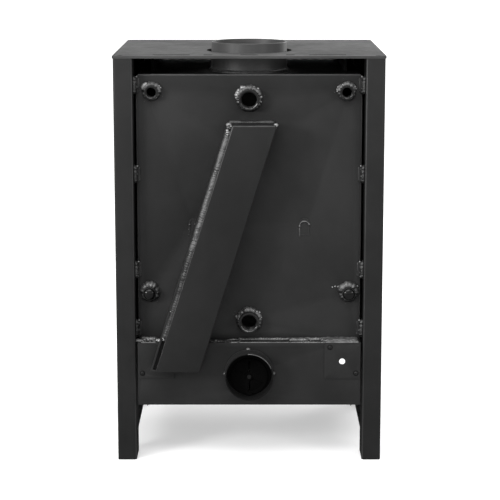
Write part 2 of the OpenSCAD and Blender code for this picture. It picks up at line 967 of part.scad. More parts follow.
// Fills the stepped corner above the base box; its cap keeps it to the step's width
module channel_weld() {
  end_gap = 6;
  section = [for (p = fillet_section) [p[0], p[1] * (step_d + weld_proud) / step_w]];
  color(weld_grey)
    along_channel_edge()
      translate([-step_w, -step_d, weld_start])
        bead(channel_edge - weld_start - end_gap, section, step_w * 0.92, 4, 30, step_w);
}

// Beads along the back and front edges of the channel's upper end, with a lump at each corner
module channel_cap_welds() {
  x = [channel_top_x - channel_w / 2 + 2, channel_top_x + channel_w / 2 - 3];
  face_x = x[1] + 2.5 - step_x;
  lump_r = 5.5;
  lump_proud = 0.5;
  color(weld_grey) {
    translate([x[0], y_plate, channel_z1])
      rotate([90, 0, 90])
        bead(x[1] - x[0], fillet_section, 4.5, 3.5, 55);
    translate([x[0], channel_y1 - channel_t, channel_z1])
      rotate([90, 0, 90])
        bead(face_x - x[0], dome_section, 2.2, 3.5, 80);
    difference() {
      for (cx = [x[0] + lump_r - 2, x[1] + 3 - lump_r])
        translate([cx, channel_y1 - lump_r + lump_proud, channel_z1])
          sphere(lump_r, $fn = 32);
      channel_form();
    }
  }
}

// Duct that takes the channel's air through the water jacket
module air_passage() {
  x = [channel_top_x - passage_w / 2, channel_top_x + passage_w / 2];
  z = [passage_z - passage_h, passage_z];
  color(boiler_steel)
    difference() {
      block(x, [fire_y, y_plate], z);
      block([x[0] + channel_t, x[1] - channel_t], [fire_y - 1, y_plate + 1],
            [z[0] + channel_t, z[1] - channel_t]);
    }
}

module cover_hole(side) {
  translate([side * cover_x - cover_w / 2 + cover_lap, cover_z - cover_h / 2 + cover_lap])
    square([cover_w - 2 * cover_lap, cover_h - 2 * cover_lap]);
}

// Screws sit at the inner upper and the outer lower corner of each cover plate
function cover_screw_at(side, i) =
  i == 0
  ? [side * (cover_x - cover_w / 2 + 11), cover_z + cover_h / 2 - 6.5]
  : [side * (cover_x + cover_w / 2 - 8), cover_z - cover_h / 2 + 11];

// Rear sheet of the base with the shelf that the boiler stands on
module rear_base_panel() {
  color(steel) {
    difference() {
      plate_y([y_rear - base_t, y_rear])
        difference() {
          translate([-boiler_x, base_z0])
            square([2 * boiler_x, boiler_z0 - base_z0]);
          for (side = [-1, 1]) {
            cover_hole(side);
            for (i = [0, 1])
              translate(cover_screw_at(side, i))
                circle(cover_screw_r + fit_gap);
          }
          translate([feed_x[0], feed_z[0]])
            square([feed_x[1] - feed_x[0], feed_z[1] - feed_z[0]]);
          translate([0, shutter_z])
            circle(pivot_r + fit_gap);
        }
      windows([0, shutter_z], 90 - slit_span / 2, [y_rear - base_t - 1, y_rear + 1]);
    }
    block([-boiler_x, boiler_x], [y_plate - rear_t, y_rear - base_t],
          [boiler_z0 - base_t, boiler_z0]);
    block([-boiler_x, boiler_x], [y_rear - base_lip, y_rear - base_t],
          [base_z0, base_z0 + base_t]);
  }
}

// Beads in the corner under the rear plate and along the outer edge of the shelf
module seam_weld() {
  mid = channel_foot_x + channel_run * (boiler_z0 - channel_z0) / channel_len;
  gap = channel_w / 2 + 3;
  ends = boiler_x - 3;
  outer_y = y_rear - 4.5;
  outer_end = 100;
  color(weld_grey) {
    for (s = [[-ends, mid - gap, 4.2], [mid + gap, ends, 4.8]])
      translate([s[0], y_plate, boiler_z0])
        rotate([90, 0, 90])
          bead(s[1] - s[0], fillet_section, s[2], 4, s[2] * 33);
    for (s = [[-ends, -outer_end, 3.1], [mid + gap, ends, 3.3]])
      translate([s[0], outer_y, boiler_z0])
        rotate([90, 0, 90])
          bead(s[1] - s[0], dome_section, s[2], 4, s[2] * 50);
  }
}

// Closed box under the grate that the ash drawer slides in
module ash_box() {
  y = [y_face + base_t, y_rear - base_t];
  color(steel) {
    difference() {
      block([-ash_x, ash_x], y, [base_z0, boiler_z0]);
      block([-ash_x + base_t, ash_x - base_t], [y[0] - 1, y[1] + 1],
            [base_z0 + base_t, boiler_z0 + 1]);
      block([-half_w, half_w], [y_plate - rear_t, y_rear], [boiler_z0 - base_t, boiler_z0 + 1]);
      block([-ash_x - 1, ash_x + 1], [y_rear - base_lip, y_rear], [base_z0 - 1, base_z0 + base_t]);
    }
    for (x = [-runner_x, runner_x])
      block([x - 5, x + 5], [y[0], y[0] + pan_d - 20],
            [base_z0 + base_t, base_z0 + base_t + runner_h]);
  }
}

module front_base_panel() {
  color(steel)
    plate_y([y_face, y_face + base_t])
      difference() {
        translate([-boiler_x, base_z0])
          square([2 * boiler_x, boiler_z0 - base_z0]);
        round_rect([-pan_x - 4, pan_x + 4], [base_z0 + base_t, pan_z0 + pan_h + 6], 1);
      }
}

module air_inlet_spigot() {
  rim = 0.8;
  root = 6;
  color(steel)
    translate([0, y_rear, inlet_z])
      rotate([-90, 0, 0])
        rotate_extrude($fn = 96)
          polygon([
            [inlet_r - inlet_wall, 0], [inlet_r + root_swell, 0],
            [inlet_r + root_swell, root], [inlet_r, root], [inlet_r, inlet_reach - rim],
            [inlet_r - rim, inlet_reach], [inlet_r - inlet_wall, inlet_reach],
          ]);
}

module spigot_tack_welds() {
  color(bright)
    for (a = [88, 182, 358])
      translate([0, y_rear, inlet_z])
        rotate([0, -a, 0])
          translate([inlet_r + root_swell, 0, -4])
            bead(8, fillet_section, 4.2, 2, a);
}

module air_shutter() {
  y = [y_rear + shutter_gap, y_rear + shutter_gap + shutter_t];
  color(iron) {
    difference() {
      rod_y(shutter_r, y, [0, shutter_z]);
      rod_y(pivot_r + run_gap, [y[0] - 1, y[1] + 1], [0, shutter_z]);
      windows([0, shutter_z], 90 + slit_span / 2 - window_span, [y[0] - 1, y[1] + 1]);
    }
    // Bent lug for turning the shutter
    block([-5, 5], [y[1] - 0.1, y[1] + 9], [shutter_z - shutter_r + 1.5, shutter_z - shutter_r + 3.5]);
  }
}

module shutter_screw() {
  under_head = y_rear + shutter_t + 2 * shutter_gap;
  head = [under_head, under_head + 3];
  color(bright) {
    rod_y(pivot_r, [y_rear - base_t - 5, head[0] + 0.1], [0, shutter_z]);
    difference() {
      rod_y(pivot_head_r, head, [0, shutter_z]);
      block([-3, 3], [head[1] - 1, head[1] + 1], [shutter_z - 0.5, shutter_z + 0.5]);
    }
    rod_y(pivot_head_r, [y_rear - base_t - 4, y_rear - base_t], [0, shutter_z]);
  }
}

module cover_plate(side) {
  color(steel)
    plate_y([y_rear, y_rear + cover_t])
      difference() {
        round_rect(
          [side * cover_x - cover_w / 2, side * cover_x + cover_w / 2],
          [cover_z - cover_h / 2, cover_z + cover_h / 2],
          1.5
        );
        if (side < 0)
          translate([side * cover_x, cover_z])
            circle(cover_hole_r);
        for (i = [0, 1])
          translate(cover_screw_at(side, i))
            circle(cover_screw_r + fit_gap);
      }
}

module left_cover_plate() {
  cover_plate(-1);
}

module right_cover_plate() {
  cover_plate(1);
}

module cover_screws() {
  face = y_rear + cover_t;
  color(bright)
    for (side = [-1, 1], i = [0, 1])
      let (at = cover_screw_at(side, i)) {
        rod_y(cover_screw_r, [y_rear - base_t - 4, face + 0.1], at);
        difference() {
          rod_y(4, [face, face + 2.4], at);
          rod_y(1.6, [face + 1.2, face + 3], at);
        }
      }
}

module hearth_plate() {
  hole = [grate_size[0] / 2 - 10, grate_size[1] / 2 - 10];
  color(iron)
    difference() {
      block([-inner_x, inner_x], [y_jacket, inner_y], [boiler_z0, hearth_z1]);
      block([-hole[0], hole[0]], [grate_y - hole[1], grate_y + hole[1]],
            [boiler_z0 - 1, hearth_z1 + 1]);
    }
}

// Cast grate with a row of slots, a raised rim and a stub that locates it in the hearth
module grate() {
  half = [grate_size[0] / 2, grate_size[1] / 2];
  bars = 11;
  pitch = (grate_size[0] - 40) / bars;
  color(iron)
    difference() {
      union() {
        block([-half[0], half[0]], [grate_y - half[1], grate_y + half[1]],
              [hearth_z1, hearth_z1 + grate_t]);
        block([-half[0] + 11, half[0] - 11], [grate_y - half[1] + 11, grate_y + half[1] - 11],
              [boiler_z0 + 1, hearth_z1 + 1]);
      }
      block([-half[0] + 8, half[0] - 8], [grate_y - half[1] + 8, grate_y + half[1] - 8],
            [hearth_z1 + grate_t - 2, hearth_z1 + grate_t + 1]);
      translate([0, grate_y, boiler_z0])
        linear_extrude(grate_t + 10)
          for (i = [0:bars - 1], s = [-1, 1])
            translate([(i - (bars - 1) / 2) * pitch, s * grate_size[1] * 0.22])
              slot(9, grate_size[1] * 0.36);
    }
}

module side_bricks() {
  y = [guard_y + guard_t + 2, inner_y - fit_gap];
  mid = (y[0] + y[1]) / 2;
  color(brick)
    for (side = [-1, 1], half = [[y[0], mid - 0.5], [mid + 0.5, y[1]]])
      block(
        side > 0 ? [inner_x - fit_gap - brick_t, inner_x - fit_gap]
                 : [-inner_x + fit_gap, -inner_x + fit_gap + brick_t],
        half, [hearth_z1, hearth_z1 + brick_h]
      );
}

module rear_bricks() {
  edge = inner_x - fit_gap - brick_t - 0.5;
  color(brick)
    for (x = [[-edge, -0.5], [0.5, edge]])
      block(x, [inner_y - fit_gap - brick_t, inner_y - fit_gap], [hearth_z1, hearth_z1 + brick_h]);
}

// Slotted plate that keeps the logs off the door
module log_guard() {
  edge = inner_x - fit_gap;
  color(iron)
    plate_y([guard_y, guard_y + guard_t])
      difference() {
        translate([-edge, hearth_z1])
          square([2 * edge, 72]);
        for (i = [-4:4])
          translate([i * 32, hearth_z1 + 40])
            slot(10, 42);
      }
}

// Height of the baffle's underside at a depth
function baffle_at(y) =
  baffle_z[0] + (baffle_z[1] - baffle_z[0]) * (inner_y - y) / (inner_y - baffle_y0);

module baffle_plate() {
  edge = inner_x - 1;
  back = inner_y - fit_gap;
  color(brick)
    plate_x([-edge, edge])
      polygon([
        [back, baffle_at(back)], [back, baffle_at(back) + baffle_t],
        [baffle_y0, baffle_at(baffle_y0) + baffle_t], [baffle_y0, baffle_at(baffle_y0)],
      ]);
}

module baffle_studs() {
  ys = [baffle_y0 + stud_in, inner_y - stud_in];
  color(iron)
    for (x = [-inner_x, inner_x - stud_len], y = ys)
      translate([x, y, baffle_at(y) - stud_r / cos(baffle_tilt)])
        rotate([0, 90, 0])
          cylinder(r = stud_r, h = stud_len);
}

// Folded strip above the door with a row of louvres and a slot for the secondary air knob
module front_fascia() {
  edge = pillar_x;
  y = [y_front, y_front + fascia_d];
  color(steel)
    difference() {
      block([-edge, edge], y, [fascia_z0, plate_z0]);
      block([-edge + sheet_t, edge - sheet_t], [y[0] + sheet_t, y[1] + 1],
            [fascia_z0 - 1, plate_z0 - sheet_t]);
      block([-half_w, half_w], [y_face - slide_gap, y[1] + 1], [fascia_z0 - 1, boiler_z1 + 1]);
      plate_y([y[0] - 1, y[0] + sheet_t + 1]) {
        for (i = [-8:8])
          translate([i * 22, boiler_z1 + top_gap * 0.45])
            slot(7, 20);
        translate([knob_x + secondary_travel / 2, sec_z])
          slot(secondary_travel + 2 * knob_stem_r + 3, 2 * knob_stem_r + 2);
      }
    }
}

// Angled rails that keep the secondary slider on the front frame
module slider_guides() {
  x = [-(sec_count / 2) * sec_pitch - 6, knob_x + secondary_travel + 30];
  y0 = y_face - sheet_t - 2 * slide_gap;
  color(iron)
    for (up = [0, 1])
      plate_x(x)
        polygon([
          for (p = [[y_face, -4], [y_face, -slide_gap], [y0, -slide_gap], [y0, 2],
                    [y0 - 1, 2], [y0 - 1, -4]])
            [p[0], up == 0 ? sec_z - sec_h / 2 + p[1] : sec_z + sec_h / 2 - p[1]]
        ]);
}

module air_knob(at, y_back, y_tip) {
  r = knob_r - knob_edge;
  rod_y(knob_stem_r, [y_tip + knob_len - knob_edge, y_back], at);
  translate([at[0], y_tip + knob_len, at[1]])
    rotate([90, 0, 0])
      rotate_extrude()
        polygon([
          [0, 0], [r, 0], [knob_r, knob_edge], [knob_r, knob_len - knob_edge],
          [r, knob_len], [0, knob_len],
        ]);
}

module secondary_slider() {
  y = [y_face - sheet_t - slide_gap, y_face - slide_gap];
  x = [-(sec_count / 2) * sec_pitch, knob_x + 10];
  color(iron) {
    plate_y(y)
      difference() {
        translate([x[0], sec_z - sec_h / 2])
          square([x[1] - x[0], sec_h]);
        for (i = [0:sec_count - 1])
          translate([(i - (sec_count - 1) / 2) * sec_pitch, sec_z])
            slot(sec_slot[0], sec_slot[1]);
      }
    air_knob([knob_x, sec_z], y[1] - 0.5, y_front - knob_out);
  }
}

// Lugs above and below the door that hold the hinge pins
module hinge_brackets() {
  color(steel)
    for (z = [door_z[0] - bracket_gap - bracket_t, door_z[1] + bracket_gap])
      translate([0, 0, z])
        linear_extrude(bracket_t)
          difference() {
            union() {
              translate([hinge_x, hinge_y])
                circle(bracket_r);
              translate([hinge_x - bracket_r, hinge_y])
                square([2 * bracket_r, y_face - hinge_y]);
            }
            translate([hinge_x, hinge_y])
              circle(pin_r);
          }
}

module hinge_pins() {
  low = door_z[0] - bracket_gap - bracket_t;
  high = door_z[1] + bracket_gap + bracket_t;
  head = 3;
  at = [hinge_x, hinge_y];
  color(bright) {
    rod_z(pin_r, [low - 0.1, door_z[0] + hinge_depth - 1], at);
    rod_z(pin_r + 3, [low - head, low], at);
    rod_z(pin_r + 3, [door_z[0] - bracket_gap, door_z[0] - 0.3], at);
    rod_z(pin_r, [door_z[1] - hinge_depth + 1, high + 0.1], at);
    rod_z(pin_r + 3, [high, high + head], at);
  }
}

// Rectangle drawn in X and Z that follows the door's edge at a distance inside it
module door_rect(inside, r) {
  round_rect([-door_x + inside, door_x - inside], [door_z[0] + inside, door_z[1] - inside], r);
}

// Cast frame with a bevelled window, a groove for the seal and a recess for the glass
module door_frame() {
  bevel = 5;
  open_x = door_x - stile_w;
  open_z = [door_z[0] + stile_w, door_z[1] - stile_w];
  edge_cut = 9;
  color(steel) {
    difference() {
      chamfered_front([-door_x, door_x], [door_y0, door_y1], door_z, door_chamfer);
      plate_y([door_y0 - 1, door_y1 + 1])
        door_rect(stile_w, 3);
      // Bevel round the window
      intersection() {
        linear_extrude(case_h)
          polygon([
            [-open_x - bevel, door_y0], [open_x + bevel, door_y0],
            [open_x, door_y0 + bevel], [-open_x, door_y0 + bevel],
          ]);
        plate_x([-door_x, door_x])
          polygon([
            [door_y0, open_z[0] - bevel], [door_y0, open_z[1] + bevel],
            [door_y0 + bevel, open_z[1]], [door_y0 + bevel, open_z[0]],
          ]);
      }
      // Recess behind the lip
      plate_y([door_y0 + lip_t, door_y1 + 1])
        door_rect(groove_in + groove_w + 3, 4);
      // Groove for the rope seal
      plate_y([door_y1 - groove_d, door_y1 + 1])
        difference() {
          door_rect(groove_in, 6);
          door_rect(groove_in + groove_w, 4);
        }
      // Relief of the hinge edge, so that it swings clear of the frame
      linear_extrude(case_h)
        polygon([
          [-door_x - 1, door_y1 - edge_cut - 1], [-door_x - 1, door_y1 + 1],
          [-door_x + edge_cut + 1, door_y1 + 1],
        ]);
      for (z = [[door_z[0] - 1, door_z[0] + hinge_depth], [door_z[1] - hinge_depth, door_z[1] + 1]])
        rod_z(pin_r + run_gap, z, [hinge_x, hinge_y]);
      rod_y(spindle_r + run_gap, [door_y0 - 1, door_y1 + 1], [latch_x, door_mid]);
    }
    // Boss for the latch spindle
    tube_y(spindle_r + 5, spindle_r + run_gap, [door_y0 + lip_t - 0.1, door_y1],
           [latch_x, door_mid]);
    for (b = concat(glass_bosses, rail_bosses))
      rod_y(boss_r, [door_y0 + lip_t - 0.1, glass_y + glass_t], [b[0], b[1]]);
  }
}

module glass_rect(grow) {
  door_rect(stile_w - glass_lap - grow, 2);
}

module door_glass() {
  color([0.16, 0.15, 0.14, 0.5])
    plate_y([glass_y, glass_y + glass_t])
      glass_rect(0);
}

module glass_gasket() {
  color("#8f8d86")
    plate_y([door_y0 + lip_t, glass_y])
      difference() {
        glass_rect(0);
        door_rect(stile_w - 1, 2);
      }
}

module glass_clips() {
  y = [glass_y + glass_t, glass_y + glass_t + 1.5];
  color(bright)
    for (b = concat(glass_bosses, rail_bosses)) {
      shift = b[2] == 0 ? [b[0] > 0 ? -4 : 4, 0] : [0, b[1] > door_mid ? -4 : 4];
      size = b[2] == 0 ? [24, 16] : [16, 24];
      plate_y(y)
        translate([b[0] + shift[0], b[1] + shift[1]])
          round_rect([-size[0] / 2, size[0] / 2], [-size[1] / 2, size[1] / 2], 2);
      rod_y(4, [y[1] - 0.1, y[1] + 2.5], [b[0], b[1]]);
    }
}

module door_rope_seal() {
  color("#4a4a48")
    plate_y([door_y1 - groove_d, y_face - 0.3])
      difference() {
        door_rect(groove_in + 0.7, 6);
        door_rect(groove_in + groove_w - 0.7, 4);
      }
}

// Hub, spindle and hanging lever, which ends in a rounded grip
module door_lever() {
  hub_r = 13;
  bar_r = 7;
  bar_y = door_y0 - handle_reach + bar_r + 1;
  hub = [bar_y - bar_r - 1, door_y0 - slide_gap];
  color(iron) {
    rod_y(spindle_r, [hub[1] - 1, y_face + frame_t + tongue_gap + tongue_t + 3],
          [latch_x, door_mid]);
    translate([latch_x, hub[1], door_mid])
      rotate([90, 0, 0])
        rotate_extrude()
          polygon([
            [0, 0], [hub_r, 0], [hub_r, 5], [hub_r - 4, 9],
            [hub_r - 4, hub[1] - hub[0] - 2], [hub_r - 6, hub[1] - hub[0]],
            [0, hub[1] - hub[0]],
          ]);
    translate([latch_x, bar_y, door_mid])
      rotate([180, 0, 0])
        rotate_extrude()
          polygon([
            [0, 0], [bar_r - 2, 0], [bar_r - 2, lever_len * 0.35], [bar_r, lever_len * 0.42],
            [bar_r, lever_len - 5], [bar_r - 1.5, lever_len - 1.5], [bar_r - 5, lever_len],
            [0, lever_len],
          ]);
  }
}

// Tongue that turns behind the front frame
module latch_tongue() {
  y = [y_face + frame_t + tongue_gap, y_face + frame_t + tongue_gap + tongue_t];
  r = tongue_w / 2;
  color(bright)
    plate_y(y)
      translate([latch_x, door_mid])
        difference() {
          union() {
            circle(spindle_r + 3);
            translate([-r, -tongue_len + r])
              square([tongue_w, tongue_len - r]);
            translate([0, -tongue_len + r])
              circle(r);
          }
          circle(spindle_r);
        }
}

module ash_pan() {
  front = drawer_y0 + drawer_front_t + fit_gap;
  y = [front, front + pan_d];
  z = [pan_z0, pan_z0 + pan_h];
  wall = [-pan_x + pan_t, pan_x - pan_t];
  color(bright) {
    difference() {
      block([-pan_x, pan_x], y, z);
      block(wall, [y[0] + pan_t, y[1] - pan_t], [z[0] + pan_t, z[1] + 1]);
      block([-pan_x + 20, pan_x - 20], [y[0] - 1, y[0] + pan_t + 1], [z[0] + pan_h * 0.55, z[1] + 1]);
    }
    // Ears that join the pan to the drawer's front
    for (x = [[-pan_x, wall[0]], [wall[1], pan_x]])
      block(x, [drawer_y0 + skin_t, y[0] + 1], [drawer_z0 + skin_t + fit_gap, z[1]]);
  }
}

module ash_drawer_front() {
  z = [drawer_z0, drawer_z0 + drawer_h];
  y = [drawer_y0, drawer_y0 + drawer_front_t];
  color(steel)
    difference() {
      chamfered_front([-drawer_x, drawer_x], y, z, 2);
      block([-drawer_x + skin_t, drawer_x - skin_t], [y[0] + skin_t, y[1] + 1],
            [z[0] + skin_t, z[1] - skin_t]);
      plate_y([y[0] - 1, y[0] + skin_t + 1]) {
        for (i = [0:prim_count - 1])
          translate([(i - (prim_count - 1) / 2) * prim_pitch, prim_z])
            slot(prim_slot[0], prim_slot[1]);
        translate([prim_knob_x + primary_travel / 2, prim_z])
          slot(primary_travel + 2 * knob_stem_r + 2, 2 * knob_stem_r + 2);
      }
    }
}

// Round bar on two posts
module ash_drawer_handle() {
  z = drawer_z0 + drawer_h - grip_drop;
  y = drawer_y0 - grip_reach + grip_r;
  color(iron) {
    translate([-grip_half, y, z])
      rotate([0, 90, 0])
        cylinder(r = grip_r, h = 2 * grip_half);
    for (x = [-grip_half + grip_post_in, grip_half - grip_post_in])
      rod_y(grip_post_r, [y, drawer_y0], [x, z]);
  }
}

module primary_guides() {
  x = [-(prim_count / 2) * prim_pitch - 4, prim_knob_x + primary_travel + 14];
  y = drawer_y0 + skin_t;
  y1 = y + sheet_t + 2 * slide_gap;
  color(iron)
    for (up = [0, 1])
      plate_x(x)
        polygon([
          for (p = [[y, -4], [y, -slide_gap], [y1, -slide_gap], [y1, 2], [y1 + 1, 2], [y1 + 1, -4]])
            [p[0], up == 0 ? prim_z - prim_h / 2 + p[1] : prim_z + prim_h / 2 - p[1]]
        ]);
}

module primary_slider() {
  y = [drawer_y0 + skin_t + slide_gap, drawer_y0 + skin_t + slide_gap + sheet_t];
  x = [-(prim_count / 2) * prim_pitch, prim_knob_x + 10];
  color(iron) {
    plate_y(y)
      difference() {
        translate([x[0], prim_z - prim_h / 2])
          square([x[1] - x[0], prim_h]);
        for (i = [0:prim_count - 1])
          translate([(i - (prim_count - 1) / 2) * prim_pitch, prim_z])
            slot(prim_slot[0], prim_slot[1]);
      }
    air_knob([prim_knob_x, prim_z], y[1] - 0.5, drawer_y0 - knob_out);
  }
}

left_side_casing();
right_side_casing();
top_plate();
top_plate_screws();
top_plate_rails();
rear_boiler_plate();
boiler_shell();
firebox_shell();
jacket_rings();
flue_passage();
front_frame();
jacket_stays();
casing_tabs();
flue_collar();
collar_weld();
flow_socket();
return_socket();
upper_corner_sockets();
lower_corner_sockets();
socket_plugs();
socket_welds();
air_channel();
channel_weld();
channel_cap_welds();
air_passage();
rear_base_panel();
seam_weld();
ash_box();
front_base_panel();
air_inlet_spigot();
spigot_tack_welds();
air_shutter();
shutter_screw();
left_cover_plate();
right_cover_plate();
cover_screws();
hearth_plate();
grate();
side_bricks();
rear_bricks();
log_guard();
baffle_plate();
baffle_studs();
front_fascia();
slider_guides();
secondary_slider();
hinge_brackets();
hinge_pins();
door_frame();
door_glass();
glass_gasket();
glass_clips();
door_rope_seal();
door_lever();
latch_tongue();
ash_pan();
ash_drawer_front();
ash_drawer_handle();
primary_guides();
primary_slider();
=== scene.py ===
import json
import math
import random

import bmesh
import bpy
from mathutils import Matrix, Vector, noise

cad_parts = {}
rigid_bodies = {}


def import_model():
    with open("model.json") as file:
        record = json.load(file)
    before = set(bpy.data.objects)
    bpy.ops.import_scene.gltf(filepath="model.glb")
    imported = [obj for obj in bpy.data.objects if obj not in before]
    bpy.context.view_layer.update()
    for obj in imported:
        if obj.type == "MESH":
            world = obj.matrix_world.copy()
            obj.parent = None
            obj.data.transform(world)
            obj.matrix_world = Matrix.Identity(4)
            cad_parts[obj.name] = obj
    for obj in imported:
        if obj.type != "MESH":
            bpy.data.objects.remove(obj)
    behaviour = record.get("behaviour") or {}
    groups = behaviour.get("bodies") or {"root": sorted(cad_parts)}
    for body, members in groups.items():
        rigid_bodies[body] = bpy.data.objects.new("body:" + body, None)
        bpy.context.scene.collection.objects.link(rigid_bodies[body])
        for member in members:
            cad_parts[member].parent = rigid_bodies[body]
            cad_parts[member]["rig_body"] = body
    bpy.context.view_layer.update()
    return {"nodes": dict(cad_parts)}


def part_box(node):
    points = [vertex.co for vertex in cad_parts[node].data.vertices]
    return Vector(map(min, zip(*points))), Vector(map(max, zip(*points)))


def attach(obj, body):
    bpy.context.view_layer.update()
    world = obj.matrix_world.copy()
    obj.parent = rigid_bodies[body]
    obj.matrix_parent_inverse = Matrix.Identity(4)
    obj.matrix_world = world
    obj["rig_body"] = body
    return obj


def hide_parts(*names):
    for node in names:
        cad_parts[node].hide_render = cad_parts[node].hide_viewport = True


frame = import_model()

MM = 0.001
TAU = 2 * math.pi
X, Y, Z = Vector((1, 0, 0)), Vector((0, 1, 0)), Vector((0, 0, 1))
nodes = frame["nodes"]
body_of = {n: o["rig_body"] for n, o in nodes.items()}
scene = bpy.context.scene


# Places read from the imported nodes, in metres

def centre_of(node):
    """A node's centre in X and Z, and its outer radius."""
    lo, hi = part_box(node)
    return Vector(((lo.x + hi.x) / 2, 0, (lo.z + hi.z) / 2)), (hi.z - lo.z) / 2


rear_lo, rear_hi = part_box("rear_boiler_plate")
Y_PLATE = rear_hi.y
lo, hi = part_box("right_side_casing")
IN_X, CASE_X = lo.x, hi.x
Y_FRONT, Y_REAR = lo.y, hi.y
SPIGOT = centre_of("air_inlet_spigot")[0] + Y * Y_REAR
# The heights between which the weld along the channel was painted over
PAINTED_OVER = (0.252, 0.425)


# Materials

class Nodes:
    """A small builder of the shader nodes of a material or a world."""

    def __init__(self, owner):
        owner.use_nodes = True
        self.owner, self.tree = owner, owner.node_tree
        self.tree.nodes.clear()

    def add(self, kind, **values):
        node = self.tree.nodes.new("ShaderNode" + kind)
        for key, value in values.items():
            setattr(node, key, value)
        return node

    def put(self, socket, value):
        if isinstance(value, bpy.types.NodeSocket):
            self.tree.links.new(value, socket)
        else:
            socket.default_value = value

    def fill(self, node, **values):
        for key, value in values.items():
            self.put(node.inputs[key.replace("_", " ")], value)
        return node.outputs

    def seen_only(self, *kinds):
        """1 for the rays of the camera and of these kinds, and 0 for the rays that light the object."""
        path = self.add("LightPath").outputs
        last = path["Is Camera Ray"]
        for kind in kinds:
            last = self.math("MAXIMUM", last, path[kind])
        return last

    def math(self, operation, a, b=0.0):
        node = self.add("Math", operation=operation)
        self.put(node.inputs[0], a)
        self.put(node.inputs[1], b)
        return node.outputs[0]

    def times(self, a, b):
        return self.math("MULTIPLY", a, b)


class Surface(Nodes):
    """The nodes of a material, with textures in the object's own metres."""

    def __init__(self, name):
        super().__init__(bpy.data.materials.new(name))
        self.shader = self.add("BsdfPrincipled")
        self.fill(self.add("OutputMaterial"), Surface=self.shader.outputs[0])
        self.place = self.add("TexCoord").outputs["Object"]

    def set(self, **values):
        self.fill(self.shader, **values)

    def stretched(self, x, y, z):
        return self.fill(self.add("Mapping"), Vector=self.place, Scale=(x, y, z))[0]

    def noise(self, scale, detail=2.0, rough=0.5, place=None):
        return self.fill(self.add("TexNoise"), Vector=place or self.place, Scale=scale, Detail=detail,
                         Roughness=rough)["Fac"]

    def cells(self, scale, feature="F1", output="Distance"):
        return self.fill(self.add("TexVoronoi", feature=feature), Vector=self.place, Scale=scale)[output]

    def remap(self, value, low, high, to_low=0.0, to_high=1.0):
        return self.fill(self.add("MapRange", interpolation_type="SMOOTHSTEP"), Value=value, From_Min=low,
                         From_Max=high, To_Min=to_low, To_Max=to_high)[0]

    def mix(self, share, a, b):
        node = self.add("Mix", data_type="RGBA")
        self.put(node.inputs[0], share)
        self.put(node.inputs[6], a if isinstance(a, bpy.types.NodeSocket) else (*a, 1.0))
        self.put(node.inputs[7], b if isinstance(b, bpy.types.NodeSocket) else (*b, 1.0))
        return node.outputs[2]

    def split(self, value, kind="XYZ"):
        node = self.add("Separate" + kind)
        self.put(node.inputs[0], value)
        return node.outputs

    def bump(self, height, depth, below=None):
        node = self.add("Bump")
        if below is not None:
            self.fill(node, Normal=below)
        return self.fill(node, Height=height, Strength=1.0, Distance=depth)[0]

    def worn_edges(self, radius):
        """1 near an outer edge and 0 elsewhere."""
        dot = self.add("VectorMath", operation="DOT_PRODUCT")
        self.put(dot.inputs[0], self.fill(self.add("Bevel", samples=4), Radius=radius)[0])
        self.put(dot.inputs[1], self.add("NewGeometry").outputs["Normal"])
        return self.remap(dot.outputs["Value"], 0.995, 0.90)


def grey(v, warm=0.0):
    return (v * (1 + warm), v, v * (1 - warm))


def painted(name, level, rough, grain, streaks, shine, edge=0.0, painted_shade_disc=None):
    """Stove paint: a fine powder grain, faint clouds, rubbed streaks and dust.

    edge is how far the outer edges are lighter, as wear and as a painted highlight, and the last argument the
    X, Z and radius of a round part, seen along Y, painted near black as painted shade.
    """
    n = Surface(name)
    clouds = n.noise(9.0, 4.0, 0.6)
    fine = n.noise(900.0, 2.0, 0.6)
    rubbed = n.noise(16.0, 5.0, 0.65, n.stretched(3.0, 3.0, 0.35))
    dust = n.remap(n.noise(260.0, 3.0, 0.7), 0.66, 0.80)
    tone = n.math("ADD", n.remap(clouds, 0.3, 0.7, 0.0, 1 - streaks),
                  n.times(rubbed, streaks))
    colour = n.mix(tone, grey(level * 0.82), grey(level * 1.22))
    colour = n.mix(n.times(dust, 0.35), colour, grey(level * 2.2))
    # Lighter outer edges: wear, and partly a painted highlight
    if edge:
        wear = n.times(n.worn_edges(0.0012), n.remap(clouds, 0.35, 0.65, 0.3, 1.0))
        colour = n.mix(n.times(wear, edge), colour, grey(level * 3.2))
    # Near black inside the given disc: painted shade
    if painted_shade_disc:
        away = n.add("VectorMath", operation="LENGTH")
        flat = n.add("VectorMath", operation="MULTIPLY_ADD")
        n.put(flat.inputs[0], n.place)
        flat.inputs[1].default_value = (1, 0, 1)
        flat.inputs[2].default_value = (-painted_shade_disc[0], 0, -painted_shade_disc[1])
        n.put(away.inputs[0], flat.outputs[0])
        black = n.remap(away.outputs["Value"], painted_shade_disc[2] - 0.002, painted_shade_disc[2], 1.0, 0.0)
        colour = n.mix(black, colour, grey(0.002))
        shine = n.remap(black, 0.0, 1.0, shine, 0.02)
    n.set(Base_Color=colour,
          Roughness=n.math("ADD", n.remap(rubbed, 0.3, 0.7, rough - 0.06, rough + 0.07),
                           n.times(n.math("SUBTRACT", fine, 0.5), 0.12)),
          Specular_IOR_Level=shine)
    relief = n.bump(n.noise(150.0, 2.0, 0.5), 0.00008 * grain)
    relief = n.bump(n.cells(700.0, "SMOOTH_F1"), 0.00007 * grain, relief)
    n.set(Normal=n.bump(fine, 0.00005 * grain, relief))
    return n.owner


